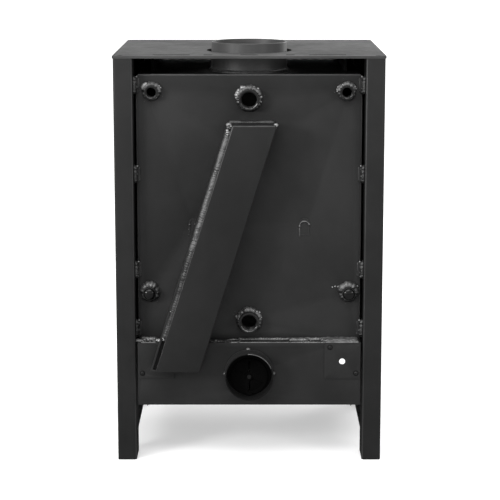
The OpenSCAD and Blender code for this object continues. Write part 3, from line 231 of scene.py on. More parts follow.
def weld_metal(name, level, rough, metal, contrast=1.0, painted_over=None):
    """Weld bead with patches, dark spots and a fine grain; its faces that turn down are darker, as painted
    shade.

    painted_over is the lowest and highest Z of the part whose paint is whole.
    """
    n = Surface(name)
    patches = n.noise(70.0, 4.0, 0.6)
    fine = n.noise(1400.0, 3.0, 0.6)
    colour = n.mix(n.remap(patches, 0.35, 0.65), grey(level * (1 - 0.55 * contrast)),
                   grey(level * (1 + 0.5 * contrast)))
    # Painted shade: the faces that turn down are darker
    turn = n.split(n.add("TexCoord").outputs["Normal"])["Z"]
    colour = n.mix(n.remap(turn, -0.45, 0.15, 1.0, 0.0), colour, grey(level * 0.14))
    spots = n.remap(n.cells(420.0), 0.0, 0.16, 1.0, 0.0)
    colour = n.mix(n.times(spots, 0.4 * contrast), colour, grey(level * 0.3))
    if painted_over:
        low, high = painted_over
        z = n.split(n.place)["Z"]
        over = n.times(n.remap(z, low - 0.012, low + 0.012),
                      n.remap(z, high - 0.03, high + 0.03, 1.0, 0.0))
        over = n.times(over, n.remap(n.noise(55.0, 3.0, 0.6), 0.3, 0.62, 1.0, 0.6))
        colour = n.mix(over, colour, grey(level * 0.16))
    n.set(Base_Color=colour, Metallic=metal,
          Roughness=n.remap(patches, 0.3, 0.7, rough - 0.08, rough + 0.16))
    relief = n.bump(n.noise(330.0, 3.0, 0.6), 0.0004 * contrast)
    n.set(Normal=n.bump(fine, 0.0001 * contrast, relief))
    return n.owner


def plated(name, level, rough=0.32):
    """Plated, blackened or turned steel with fine scratches."""
    n = Surface(name)
    scratch = n.noise(120.0, 6.0, 0.75, n.stretched(1.0, 1.0, 9.0))
    patches = n.noise(60.0, 3.0)
    n.set(Base_Color=n.mix(n.remap(patches, 0.3, 0.7), grey(level * 0.8), grey(level * 1.15)),
          Metallic=1.0, Roughness=n.remap(scratch, 0.35, 0.65, rough - 0.07, rough + 0.14))
    n.set(Normal=n.bump(scratch, 0.00003))
    return n.owner


def scaled_steel(name, level):
    """Bare plate that has been hot: mill scale, soot and a breath of rust."""
    n = Surface(name)
    blotch = n.noise(14.0, 6.0, 0.65)
    fine = n.noise(500.0, 4.0, 0.7)
    brown = n.remap(n.noise(26.0, 6.0, 0.7), 0.52, 0.72)
    colour = n.mix(n.remap(blotch, 0.35, 0.65), grey(level * 0.6), grey(level * 1.4))
    colour = n.mix(n.times(brown, 0.35), colour, (level * 2.1, level * 1.05, level * 0.55))
    black = n.remap(n.noise(7.0, 5.0, 0.6), 0.45, 0.62)
    colour = n.mix(n.times(black, 0.6), colour, grey(0.008))
    n.set(Base_Color=colour, Metallic=0.25,
          Roughness=n.remap(fine, 0.3, 0.7, 0.55, 0.85), Specular_IOR_Level=0.35)
    n.set(Normal=n.bump(fine, 0.00012, n.bump(blotch, 0.0006)))
    return n.owner


def cast(name, level, rough, sand, shine):
    """Cast iron under thin paint: sand-mould grain and soft waviness."""
    n = Surface(name)
    wave = n.noise(45.0, 3.0)
    sandy = n.noise(520.0, 4.0, 0.65)
    pits = n.remap(n.cells(300.0), 0.0, 0.22)
    colour = n.mix(n.remap(n.noise(12.0, 5.0, 0.6), 0.35, 0.65), grey(level * 0.78),
                   grey(level * 1.25, 0.02))
    wear = n.times(n.worn_edges(0.0015), n.remap(wave, 0.4, 0.6, 0.2, 1.0))
    colour = n.mix(n.times(wear, 0.45), colour, grey(level * 3.0))
    n.set(Base_Color=colour, Roughness=n.remap(sandy, 0.3, 0.7, rough - 0.1, rough + 0.1),
          Specular_IOR_Level=shine)
    relief = n.bump(wave, 0.0003 * sand)
    relief = n.bump(sandy, 0.00025 * sand, relief)
    n.set(Normal=n.bump(pits, 0.0001 * sand, relief))
    return n.owner


def firebrick(name):
    """Pressed vermiculite: golden flakes, pores, and soot towards the smoke's way."""
    n = Surface(name)
    flake = n.split(n.cells(260.0, "F1", "Color"), "Color")
    pores = n.remap(n.cells(340.0), 0.0, 0.2, 1.0, 0.0)
    base = n.mix(flake[0], (0.36, 0.26, 0.15), (0.60, 0.49, 0.33))
    base = n.mix(n.remap(flake[1], 0.88, 0.93), base, (0.86, 0.76, 0.55))
    base = n.mix(n.remap(flake[2], 0.88, 0.93), base, (0.12, 0.085, 0.05))
    soot = n.remap(n.noise(8.0, 5.0, 0.65), 0.42, 0.66, 0.0, 0.55)
    base = n.mix(soot, base, (0.05, 0.045, 0.04))
    n.set(Base_Color=base, Roughness=0.93, Specular_IOR_Level=0.2)
    n.set(Normal=n.bump(pores, -0.0006, n.bump(flake[0], 0.0005)))
    return n.owner


def fibre_rope(name, level=0.075):
    """Glass-fibre rope seal: woven strands with pale broken fibres."""
    n = Surface(name)
    strands = n.add("TexWave", wave_type="BANDS", bands_direction="DIAGONAL")
    strands = n.fill(strands, Vector=n.place, Scale=420.0, Distortion=2.5)["Fac"]
    fuzz = n.noise(2200.0, 3.0, 0.7)
    colour = n.mix(strands, grey(level * 0.55), grey(level * 1.5, 0.03))
    colour = n.mix(n.remap(fuzz, 0.62, 0.75, 0.0, 0.4), colour, grey(level * 3.0))
    n.set(Base_Color=colour, Roughness=0.95, Specular_IOR_Level=0.15)
    n.set(Normal=n.bump(strands, 0.0004, n.bump(fuzz, 0.0001)))
    return n.owner


def stove_glass(name):
    """Ceramic glass with a light bronze tint, clouded with soot towards its edges."""
    n = Surface(name)
    lo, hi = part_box("door_glass")
    mid, half = (lo + hi) / 2, (hi - lo) / 2
    part = n.split(n.place)
    away = []
    for axis in (0, 2):
        off = n.math("ABSOLUTE", n.math("SUBTRACT", part[axis], mid[axis]))
        away.append(n.remap(off, half[axis] - 0.075, half[axis] - 0.005))
    rim = n.math("MAXIMUM", away[0], away[1])
    cloud = n.times(rim, n.remap(n.noise(22.0, 6.0, 0.7), 0.35, 0.65, 0.15, 0.85))
    n.set(Base_Color=n.mix(cloud, (0.42, 0.36, 0.30), (0.035, 0.028, 0.022)),
          Roughness=n.remap(cloud, 0.0, 0.8, 0.015, 0.4), IOR=1.52, Transmission_Weight=1.0,
          Coat_Weight=0.3, Coat_Roughness=0.02)
    n.set(Normal=n.bump(n.noise(28.0, 2.0), 0.00006))
    return n.owner


def galvanised(name):
    """Galvanised sheet with spangle, dulled by ash."""
    n = Surface(name)
    crystal = n.split(n.cells(85.0, "F1", "Color"), "Color")
    ash = n.remap(n.noise(18.0, 6.0, 0.7), 0.42, 0.66, 0.0, 0.7)
    colour = n.mix(crystal[0], grey(0.24), grey(0.42, -0.02))
    colour = n.mix(ash, colour, (0.22, 0.20, 0.18))
    n.set(Base_Color=colour, Metallic=n.math("SUBTRACT", 0.85, n.times(ash, 0.8)),
          Roughness=n.math("ADD", n.remap(crystal[1], 0.0, 1.0, 0.34, 0.5),
                           n.times(ash, 0.35)))
    n.set(Normal=n.bump(n.noise(300.0, 4.0, 0.6), 0.00006))
    return n.owner


def glossy_cap(name):
    """Glossy black cap with a slight moulded waviness and hairline scuffs."""
    n = Surface(name)
    scuff = n.noise(700.0, 5.0, 0.8)
    n.set(Base_Color=n.mix(n.noise(60.0, 2.0), grey(0.002), grey(0.004)),
          Roughness=n.remap(scuff, 0.45, 0.75, 0.06, 0.14), Specular_IOR_Level=0.18,
          Coat_Weight=0.08, Coat_Roughness=0.05)
    n.set(Normal=n.bump(n.noise(110.0, 2.0), 0.00005))
    return n.owner


# The numbers are, for paint: grey level, roughness, grain, streaks and shine; for welds: grey level,
# roughness, metal and contrast; for bare metal: grey level and roughness; for cast iron: grey level,
# roughness, sand grain and shine
M = {
    "casing": painted("casing_paint", 0.0140, 0.46, 0.8, 0.16, 0.17, edge=0.5),
    # Inside the air inlet's circle the base paint is near black: painted shade
    "base": painted("base_paint", 0.0170, 0.48, 0.8, 0.16, 0.17, edge=0.4, painted_shade_disc=(0.0, SPIGOT.z, 0.046)),
    "top": painted("top_plate_paint", 0.056, 0.62, 0.6, 0.08, 0.12, edge=0.25),
    "boiler": painted("boiler_paint", 0.0170, 0.50, 0.9, 0.20, 0.20, edge=0.6),
    # Near black: the hob screws' own black, and painted shade in recesses, gaps, undersides and the inner
    # sides of parts
    "inner": painted("black_paint_and_painted_shade", 0.005, 0.75, 0.9, 0.20, 0.10),
    "channel": painted("channel_paint", 0.0130, 0.48, 0.8, 0.18, 0.15, edge=0.6),
    "collar": painted("collar_paint", 0.040, 0.50, 0.7, 0.10, 0.35, edge=0.4),
    "turned": painted("socket_paint", 0.013, 0.42, 0.6, 0.10, 0.22, edge=0.25),
    "weld": weld_metal("weld_bead", 0.038, 0.42, 0.45, 0.6),
    "edge_weld": weld_metal("edge_weld_bead", 0.085, 0.42, 0.45, 0.65, PAINTED_OVER),
    "bright_weld": weld_metal("bright_weld_bead", 0.095, 0.40, 0.5, 0.7),
    # Very light drops of spatter: their brightness is a painted highlight
    "drop_weld": weld_metal("drop_weld_painted_highlight", 0.28, 0.40, 0.5, 0.3),
    "seam_weld": weld_metal("seam_weld_bead", 0.115, 0.38, 0.5, 0.7),
    "tab_weld": weld_metal("tab_weld_bead", 0.040, 0.40, 0.4),
    # Bare metal on the sockets' mouths, given only to faces that face up: a painted highlight
    "mouth": plated("socket_mouth_metal_highlight", 0.50, 0.30),
    # Lighter metal on an upper arc of the spigot's rim: a painted highlight
    "rim": plated("spigot_rim_metal_highlight", 0.10, 0.34),
    # Lighter paint on rims and folds: a painted highlight where the edges catch the light
    "rubbed": painted("rim_painted_highlight", 0.060, 0.42, 0.8, 0.30, 0.35),
    "fold": painted("fold_painted_highlight", 0.030, 0.42, 0.8, 0.30, 0.30),
    "plug": glossy_cap("plug_gloss"),
    "zinc": plated("zinc_plate", 0.50),
    "dark_screw": plated("blackened_screw", 0.030, 0.38),
    "dull_screw": plated("dull_screw_metal", 0.022, 0.45),
    "scale": scaled_steel("firebox_scale", 0.035),
    "grate": cast("grate_iron", 0.030, 0.66, 1.4, 0.3),
    # Near black shutter: its dark paint, and painted shade inside the air inlet
    "shutter": cast("shutter_iron_and_painted_shade", 0.0018, 0.85, 0.7, 0.05),
    "brick": firebrick("vermiculite"),
    "control": painted("control_paint", 0.024, 0.45, 0.7, 0.1, 0.45, edge=0.6),
    "door": cast("door_iron", 0.024, 0.50, 0.8, 0.40),
    "glass": stove_glass("ceramic_glass"),
    "rope": fibre_rope("rope_seal"),
    "gasket": fibre_rope("glass_gasket_tape", 0.22),
    "handle": cast("handle_iron", 0.020, 0.40, 0.5, 0.45),
    "pan": galvanised("pan_steel"),
}


def wear(obj, name):
    """Gives an object one of the materials."""
    obj.data.materials.clear()
    obj.data.materials.append(M[name])


# Pieces

# Degrees between two faces from which their edge is rounded, and from which it is shaded as an edge
ROUNDED_FROM, SHADED_FROM = 28, 32


def placed(name, data):
    """A new object in the scene."""
    obj = bpy.data.objects.new(name, data)
    scene.collection.objects.link(obj)
    return obj


def piece(name, mesh, node, material):
    """A new mesh piece that replaces a CAD node, or with no node rides on the stove's body."""
    obj = placed(name, mesh)
    wear(obj, material)
    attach(obj, body_of[node] if node else "stove_body")
    if node:
        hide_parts(node)
    return obj


def shaded(mesh, sharp=None):
    """Shades a mesh smooth, but for the edges sharper than so many degrees."""
    for poly in mesh.polygons:
        poly.use_smooth = True
    if sharp:
        mesh.set_sharp_from_angle(angle=math.radians(sharp))
    return mesh


def softened(node, width, material, bends=None):
    """The node's own shape with its edges rounded a little, as sheet, castings and bricks have them.

    bends is a width and a test of an edge's two ends, for the folds that are rounder than the rest.
    """
    bm = bmesh.new()
    bm.from_mesh(nodes[node].data)
    bmesh.ops.remove_doubles(bm, verts=bm.verts, dist=0.00002)
    bmesh.ops.dissolve_limit(bm, angle_limit=math.radians(0.6), verts=bm.verts, edges=bm.edges)

    def rounded(offset, segments, chosen=lambda a, b: True):
        edges = [e for e in bm.edges if len(e.link_faces) == 2
                 and e.calc_face_angle(0) > math.radians(ROUNDED_FROM)
                 and chosen(e.verts[0].co, e.verts[1].co)]
        bmesh.ops.bevel(bm, geom=edges, offset=offset, offset_type="OFFSET", segments=segments,
                        profile=0.5, affect="EDGES", clamp_overlap=True)

    if bends:
        rounded(bends[0], 6, bends[1])
    rounded(width, 2)
    bmesh.ops.triangulate(bm, faces=[f for f in bm.faces if len(f.verts) > 4])
    mesh = bpy.data.meshes.new(node + "_skin")
    bm.to_mesh(mesh)
    bm.free()
    return piece(node + "_skin", shaded(mesh, SHADED_FROM), node, material)


def mesh_from(name, verts, faces, sharp=None):
    mesh = bpy.data.meshes.new(name)
    mesh.from_pydata([tuple(v) for v in verts], [], faces)
    mesh.validate()
    bm = bmesh.new()
    bm.from_mesh(mesh)
    bmesh.ops.recalc_face_normals(bm, faces=bm.faces)
    bm.to_mesh(mesh)
    bm.free()
    return shaded(mesh, sharp)


def radial(u):
    """Direction at the angle u round an axis along Y, from +X towards +Z."""
    return Vector((math.cos(u), 0, math.sin(u)))


def across(axis):
    """Two directions at right angles to an axis and to each other."""
    side = axis.orthogonal().normalized()
    return side, axis.cross(side)


def ramp(value, start, width):
    """0 up to the start, then rising to 1 over the width."""
    return min(1.0, max(0.0, (value - start) / width))


def tube_faces(rings, count, closed=False, start=0):
    """Quads between rings of points, and end caps unless the rings close on themselves."""
    faces = []
    for i in range(rings if closed else rings - 1):
        for j in range(count):
            k = (j + 1) % count
            a, b = start + i * count, start + ((i + 1) % rings) * count
            faces.append((a + j, a + k, b + k, b + j))
    if not closed:
        faces.append(tuple(start + j for j in range(count)))
        faces.append(tuple(start + (rings - 1) * count + j for j in reversed(range(count))))
    return faces


class Bead:
    """Collects weld beads of one piece: uneven, rippled like overlapping drops."""

    def __init__(self, seed):
        self.verts, self.faces, self.seed = [], [], seed

    def lay(self, at, length, size, pitch, section, rough=0.2, step=0.0011, cap=None, ripple=0.10,
            closed=False):
        """A bead along a path, with its size, pitch and largest size, cap, in mm.

        at(s) gives the corner at a distance s, and the directions that its plate and its wall lie along.
        The drops follow at the pitch, and rough is how uneven the bead is.
        """
        rings = max(12, int(length / step))
        start = len(self.verts)
        for i in range(rings):
            s = length * i / (rings if closed else rings - 1)
            around = Vector((s, 0.0, self.seed))
            if closed:
                turn = TAU * s / length
                around = Vector((math.cos(turn), math.sin(turn), self.seed)) * (length / TAU)
            lump = noise.noise(around * 95) * rough + noise.noise(around * 260) * rough * 0.6
            drop = (s / MM / pitch + 0.35 * noise.noise(around * 60)) % 1.0
            scallop = ripple * (math.sin(math.pi * drop) ** 0.6 - 0.5)
            here = (size(s) if callable(size) else size) * MM
            end = 1.0
            if not closed:
                near = min(1.0, min(s, length - s) / (here * 1.1))
                end = math.sqrt(max(0.03, 1 - (1 - near) ** 2))
            grown = here * (1 + lump + scallop) * end
            if cap:
                grown = min(grown, cap * MM)
            origin, plate, wall = at(s)
            for x, y in section:
                wobble = 1 + 0.06 * noise.noise(around * 420 + Vector((x * 3, y * 3, 9.0)))
                self.verts.append(origin + plate * (x * grown * wobble) + wall * (y * grown * wobble))
        self.faces += tube_faces(rings, len(section), closed, start)

    def blob(self, at, normal, r, flat=0.6):
        """A drop of spatter, with its radius in mm."""
        normal, r = normal.normalized(), r * MM
        side, other = across(normal)
        start, rows, cols = len(self.verts), 5, 10
        for i in range(rows):
            t = math.pi / 2 * i / rows
            for j in range(cols):
                u = TAU * j / cols
                q = r * math.cos(t) * (1 + 0.12 * noise.noise(at * 900 + Vector((j, i, self.seed))))
                self.verts.append(at + side * (q * math.cos(u)) + other * (q * math.sin(u))
                                  + normal * (r * flat * math.sin(t) - r * 0.15))
        self.verts.append(at + normal * (r * flat * 0.92))
        self.faces += tube_faces(rows, cols, False, start)[:-1]
        top = start + (rows - 1) * cols
        for j in range(cols):
            self.faces.append((top + j, top + (j + 1) % cols, len(self.verts) - 1))

    def make(self, name, node, material):
        return piece(name, mesh_from(name, self.verts, self.faces), node, material)


def arc(points, turns):
    """Points of a circle of radius 1 over so many turns."""
    step = TAU * turns / (points - 1)
    return [(math.cos(step * i), math.sin(step * i)) for i in range(points)]


def fillet(points=9, sink=0.25):
    """Rounded corner section: it bulges a little, and its back is sunk in the corner."""
    bulge = [(x * 0.96, y * 0.96) for x, y in arc(points, 0.25)]
    return bulge + [(-sink, 0.9), (-sink, -sink), (0.9, -sink)]


def dome(points=13, sink=0.35):
    """Half-round section that lies on a flat, with its base sunk in it."""
    return arc(points, 0.5) + [(-0.9, -sink), (0.9, -sink)]


def split_pair(node):
    """Centres of a node's two solids, left and right, in X and Z, and their outer radius."""
    lo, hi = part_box(node)
    r = (hi.z - lo.z) / 2
    return [Vector((x, 0, (lo.z + hi.z) / 2)) for x in (lo.x + r, hi.x - r)], r


# Sockets' places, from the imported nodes
flow, MAIN_R = centre_of("flow_socket")
back, _ = centre_of("return_socket")
upper, SIDE_R = split_pair("upper_corner_sockets")
lower, _ = split_pair("lower_corner_sockets")


def threaded_socket(name, node, centres, r, thread):
    """Turned sockets with a chamfered mouth and a real pipe thread inside."""
    bore, pitch, depth = thread
    y0, y1 = (v.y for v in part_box(node))
    thread_end = y1 - 2.3 * MM
    verts, faces = [], []
    cols = 96
    inner_r = bore - 0.02 * MM
    for c in centres:
        # Radius, place along Y, and 1 where the thread is cut
        rows = [(r * 0.985, y0, 0), (r, y0 + 0.4 * MM, 0), (r, y1 - 0.9 * MM, 0),
                (r - 0.25 * MM, y1 - 0.35 * MM, 0), (r - 0.8 * MM, y1, 0),
                ((r + bore + depth + 1.4 * MM) / 2, y1 - 0.03 * MM, 0),
                (bore + depth + 1.1 * MM, y1 - 0.05 * MM, 0), (bore + depth * 0.8, y1 - 1.9 * MM, 0)]
        y = thread_end
        while y > y0 + 0.5 * MM:
            rows.append((inner_r, y, 1))
            y -= pitch / 7
        rows.append((inner_r, y0, 0))
        start = len(verts)
        for radius, height, cut in rows:
            for j in range(cols):
                u = TAU * j / cols
                q = radius
                if cut:
                    f = (height / pitch + j / cols) % 1.0
                    q += depth * min(1.0, max(0.0, 1.25 * abs(2 * f - 1) - 0.12))
                    q = min(q, bore + depth * min(1.0, (y1 - height) / (1.5 * MM)) + 0.3 * MM)
                verts.append(c + radial(u) * q + Y * height)
        faces += tube_faces(len(rows), cols, True, start)
    mesh = mesh_from(name, verts, faces, 40)
    piece(name, mesh, node, "turned")
    # The mouth's faces that face up get bare metal: a painted highlight crescent
    mesh.materials.append(M["mouth"])
    for poly in mesh.polygons:
        off = min((Vector((poly.center.x, 0, poly.center.z)) - c).length for c in centres)
        if poly.center.y > thread_end and poly.normal.z > 0.3 and off < bore + depth + 2.0 * MM:
            poly.material_index = 1


# Bore radius, pitch and depth of the pipe threads of 1 inch and of 1/2 inch
MAIN_THREAD = (15.1 * MM, 2.309 * MM, 1.3 * MM)
SIDE_THREAD = (9.3 * MM, 1.814 * MM, 1.0 * MM)
threaded_socket("flow_socket_turned", "flow_socket", [flow], MAIN_R, MAIN_THREAD)
threaded_socket("return_socket_turned", "return_socket", [back], MAIN_R, MAIN_THREAD)
threaded_socket("upper_sockets_turned", "upper_corner_sockets", upper, SIDE_R, SIDE_THREAD)
threaded_socket("lower_sockets_turned", "lower_corner_sockets", lower, SIDE_R, SIDE_THREAD)


def lathe(name, node, centres, rows, axis, material, cols=64, sharp=35):
    """Turned pieces: rows of radius and height in mm along an axis; a radius may depend on the angle."""
    side, other = across(axis)
    verts, faces = [], []
    for c in centres:
        start = len(verts)
        for r, h in rows:
            for j in range(cols):
                u = TAU * j / cols
                q = (r(u) if callable(r) else r) * MM
                verts.append(c + side * (q * math.cos(u)) + other * (q * math.sin(u)) + axis * (h * MM))
        faces += tube_faces(len(rows), cols, False, start)
    return piece(name, mesh_from(name, verts, faces, sharp), node, material)


# Glossy domed plugs in the lower corner sockets
plug_lo, plug_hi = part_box("socket_plugs")
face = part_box("lower_corner_sockets")[1].y
stem_r, plug_r, head = 9.1, (plug_hi.z - plug_lo.z) / 2 / MM, (plug_hi.y - face) / MM
brim = head * 0.15
rows = [(stem_r, (plug_lo.y - face) / MM), (stem_r, 0.0), (plug_r - 0.5, 0.05), (plug_r, 0.6), (plug_r, brim)]
rows += [(plug_r * x, brim + (head - brim) * y) for x, y in arc(19, 0.25)[1:-1]]
rows += [(0.2, head)]
lathe("domed_plugs", "socket_plugs", [Vector((c.x, face, c.z)) for c in lower], rows, Y, "plug",
      sharp=50)


def hexagon(a):
    """Radius of a hexagon whose flats lie at a."""
    return lambda u: a / math.cos((u % (TAU / 6)) - TAU / 12)


def cross(a, b):
    """Radius of a cross recess: a between its wings and b at their tips."""
    return lambda u: a + (b - a) * max(0.0, math.cos(4 * u)) ** 3


# Countersunk top plate screws with a hexagon socket
screw_lo, screw_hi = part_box("top_plate_screws")
head_r = 6 * MM
spots = [Vector((x, y, screw_hi.z)) for x in (screw_lo.x + head_r, screw_hi.x - head_r)
         for y in (screw_lo.y + head_r, screw_hi.y - head_r)]
lathe("hob_screws", "top_plate_screws", spots,
      [(2.9, (screw_lo.z - screw_hi.z) / MM), (2.9, -3), (5.7, -0.25), (5.75, 0), (3.4, 0),
       (hexagon(2.0), -0.25), (hexagon(1.95), -2.2), (0.1, -2.4)], Z, "inner", 48)

# Screws with a cross recess in the cover plates: one above at the inner side, one below at the outer
screw_lo, screw_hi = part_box("cover_screws")
head_r = 4
spots = []
for node, side in (("left_cover_plate", -1), ("right_cover_plate", 1)):
    a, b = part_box(node)
    inner_x, outer_x = (a.x, b.x)[::side]
    spots += [Vector((inner_x + side * 11 * MM, screw_hi.y, b.z - 6.5 * MM)),
              Vector((outer_x - side * 8 * MM, screw_hi.y, a.z + 11 * MM))]
lathe("cover_plate_screws", "cover_screws", spots,
      [(2.1, (screw_lo.y - screw_hi.y) / MM), (2.1, -2.45), (head_r, -2.4), (head_r, -1.5),
       (head_r * 0.93, -0.8), (head_r * 0.75, -0.25), (head_r * 0.6, -0.05), (cross(0.75, 2.1), -0.02),
       (cross(0.6, 1.7), -1.1), (0.1, -1.3)], Y, "dark_screw", 48)
# A near black ring round their heads: painted shadow in the gap
lathe("cover_screw_shadow_rings", None, [p - Y * 2.4 * MM for p in spots],
      [(head_r + 0.1, -0.3), (head_r + 0.15, 0.12), (head_r + 1.2, 0.12), (head_r + 1.3, -0.3)],
      Y, "inner", 48)


# Weld beads

def ring_at(centre, r, up):
    """Path round a tube that stands on a plate; up points away from the plate."""
    side, other = across(up)

    def at(s):
        out = side * math.cos(s / r) + other * math.sin(s / r)
        return centre + out * r, out, up
    return at


def along_x(x, y, z):
    """Path towards +X along a flat that faces up."""
    return lambda s: (Vector((x + s, y, z)), Y, Z)


def hand_laid(r, leg, seed):
    """Size of a ring bead along it: full over the top and shoulders, thin below."""
    def size(s):
        u = s / r
        high = max(0.0, math.sin(u) + 0.15)
        waves = 0.07 * math.sin(3 * u + seed) + 0.05 * math.sin(7 * u + 2 * seed)
        return leg * (0.86 + 0.36 * high ** 0.5 + waves)
    return size


def on_plate(centre, out, r, up=0.0):
    """A point round a socket's axis on the rear plate, or up from the plate."""
    return centre + Y * (Y_PLATE + up) + out * r


# Each ring bead: its socket's place and radius, its leg in mm, and its drops, light as a painted highlight,
# as a turn in degrees from the right as seen from behind, how far out and how large in mm
RINGS = [
    (flow, MAIN_R, 6.0,
     [(174, 4.5, 3.6), (162, 5.2, 5.4), (151, 5.4, 5.0), (141, 6.4, 4.2), (122, 6.2, 4.4), (112, 4.6, 3.8),
      (103, 2.6, 2.2), (68, 4.8, 3.0), (49, 6.2, 2.8), (40, 4.6, 2.6), (24, 3.2, 2.6), (10, 4.0, 2.6),
      (-14, 3.6, 1.9)]),
    (back, MAIN_R, 6.0,
     [(162, 6.0, 3.2), (141, 4.6, 2.6), (118, 4.0, 3.0), (101, 3.4, 2.6), (66, 4.2, 3.2), (51, 4.2, 2.6),
      (39, 6.0, 2.4), (15, 4.4, 2.4)]),
    (upper[1], SIDE_R, 5.7,
     [(127, 5.6, 4.4), (138, 5.8, 5.4), (149, 5.2, 5.2), (160, 4.8, 3.6), (101, 3.2, 2.3), (38, 5.2, 2.6),
      (24, 6.0, 2.3)]),
    (upper[0], SIDE_R, 5.7,
     [(166, 5.6, 2.6), (176, 5.0, 2.6), (152, 6.0, 2.2), (118, 3.4, 1.8), (82, 3.8, 2.6), (58, 3.8, 3.2),
      (46, 4.6, 3.4), (32, 4.8, 3.2), (18, 5.0, 2.4)]),
    (lower[1], SIDE_R, 7.4,
     [(126, 6.6, 2.4), (120, 3.4, 2.4), (84, 3.0, 1.8), (64, 3.2, 2.2), (46, 4.4, 2.8), (28, 5.2, 2.6),
      (4, 5.0, 2.0)]),
    (lower[0], SIDE_R, 7.4,
     [(152, 5.4, 2.4), (108, 3.2, 2.2), (80, 3.8, 3.0), (64, 4.4, 3.4), (46, 4.2, 2.8), (34, 8.5, 1.9),
      (-4, 6.4, 1.7), (151, 10.5, 1.9), (156, 15.5, 2.0), (162, 20.0, 1.7)]),
]
bead, drops = Bead(1.7), Bead(2.2)
for i, (centre, r, leg, places) in enumerate(RINGS):
    def around(s):
        out = radial(s / r)
        return on_plate(centre, out, r - 0.1 * MM), out, Y
    bead.lay(around, TAU * r, hand_laid(r, leg, 1.3 + i * 2.1), 6.4, fillet(), 0.20, 0.0009,
             ripple=0.15, closed=True)
    pick = random.Random(11 + i).uniform
    for _ in range(6):
        out, off = radial(pick(0.1, 3.04)), pick(1.5, 5.2) * MM
        bead.blob(on_plate(centre, out, r + off, leg * MM * pick(0.2, 0.6)), out + Y * 0.9,
                  pick(1.0, 2.0), 0.8)
    for _ in range(3):
        out, off = radial(pick(0, TAU)), pick(8, 13) * MM
        bead.blob(on_plate(centre, out, r + off), Y, pick(0.35, 0.8))
    for turn, off, size in places:
        out = radial(math.radians(180 - turn))
        up = 3.4 * MM * (1 - ramp(off, 3.0, 4.0)) + 0.2 * MM
        drops.blob(on_plate(centre, out, r + off * MM, up), out + Y * 1.2 + Z * 0.3, size, 0.85)
bead.make("socket_beads", "socket_welds", "bright_weld")
drops.make("socket_drops", None, "drop_weld")

lo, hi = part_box("flue_collar")
COLLAR, COLLAR_R = Vector((*((lo + hi) / 2).xy, lo.z)), 75.3 * MM
bead = Bead(4.1)
bead.lay(ring_at(COLLAR, COLLAR_R, Z), TAU * COLLAR_R, 5.6, 4.0, fillet(), step=0.0014, closed=True)
bead.make("collar_bead", "collar_weld", "weld")

# The air channel's outline: lower and upper ends of its welded edge on the outer face
duct_lo, duct_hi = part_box("air_channel")
DUCT_W, DUCT_Y = 96 * MM, duct_hi.y
STEP_W, STEP_D = 10 * MM, 6 * MM
foot_x, top_x = duct_hi.x, duct_lo.x + DUCT_W
low, high = Vector((foot_x, DUCT_Y, duct_lo.z)), Vector((top_x, DUCT_Y, duct_hi.z))
edge_len = (high - low).length
edge_dir = (high - low).normalized()
edge_out = Vector((edge_dir.z, 0, -edge_dir.x))
weld_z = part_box("channel_weld")[0].z
start_s = (weld_z - low.z) / edge_dir.z + 3.5 * MM
lean = (STEP_D + 0.9 * MM) / STEP_W
corner = low - edge_out * STEP_W - Y * STEP_D


def in_corner(s):
    """A point in the channel's stepped corner, at the distance s from the weld's lower end."""
    return corner + edge_dir * (start_s + s)


def edge_z(s):
    return duct_lo.z + (start_s + s) * edge_dir.z


def edge_size(s):
    """Full at the top, even in the middle and thin where it is painted over."""
    z = edge_z(s)
    full = 8.6 + 0.7 * ramp(z, 0.40, 0.2)
    thin = ramp(z, 0.262, 0.02) * (1 - ramp(z, 0.345, 0.04))
    return full - 1.5 * thin


bead = Bead(7.3)
bead.lay(lambda s: (in_corner(s), edge_out, Y), edge_len - start_s - 5.0 * MM, edge_size, 4.6,
         [(x, y * lean) for x, y in fillet(13, 0.1)], 0.16, 0.0009, STEP_W / MM - 0.6, 0.11)
pick = random.Random(5).uniform
for _ in range(18):
    s = pick(0.02, edge_len - start_s - 10 * MM)
    if 0.285 < edge_z(s) < 0.36:
        continue
    q = pick(0.55, 0.98)
    bead.blob(in_corner(s) + edge_out * (STEP_W * q * 0.8) + Y * (STEP_D * math.sqrt(1 - q * q) * 0.9),
              edge_out * q + Y * (1.1 - q), pick(0.9, 1.6), 0.6)
bead.make("channel_edge_bead", "channel_weld", "edge_weld")
# Drops in mm: along from the weld's lower end or back from its upper end, out, and size
drops = Bead(3.9)
for s, q, r in [(2, 4, 2.0), (5, 6, 1.6), (60, 7, 1.3), (31, 5, 1.1)]:
    drops.blob(in_corner(s * MM) + edge_out * q * MM + Y * 4.2 * MM, Y + Z * 0.5, r, 0.8)
for s, q, r in [(9, 4.5, 3.4), (13, 3.4, 2.6), (6, 6, 3.0)]:
    drops.blob(high - edge_dir * s * MM - edge_out * (STEP_W - q * MM) - Y * (STEP_D - 4.4 * MM),
               Y + Z * 0.7, r, 0.8)

# Beads along the channel's cap, on the plate's side and on the outer side
bead = Bead(2.9)
x0, x1 = duct_lo.x + 2 * MM, top_x - 3 * MM
face_x = top_x - 0.5 * MM - STEP_W / edge_dir.z
bead.lay(along_x(x0, Y_PLATE, duct_hi.z), x1 - x0, 5.0, 3.6, fillet())
bead.lay(along_x(x0, DUCT_Y - 3 * MM, duct_hi.z), face_x - x0, 2.3, 3.2, dome(9), 0.25)
bead.make("channel_cap_beads", "channel_cap_welds", "weld")
bead = Bead(6.1)
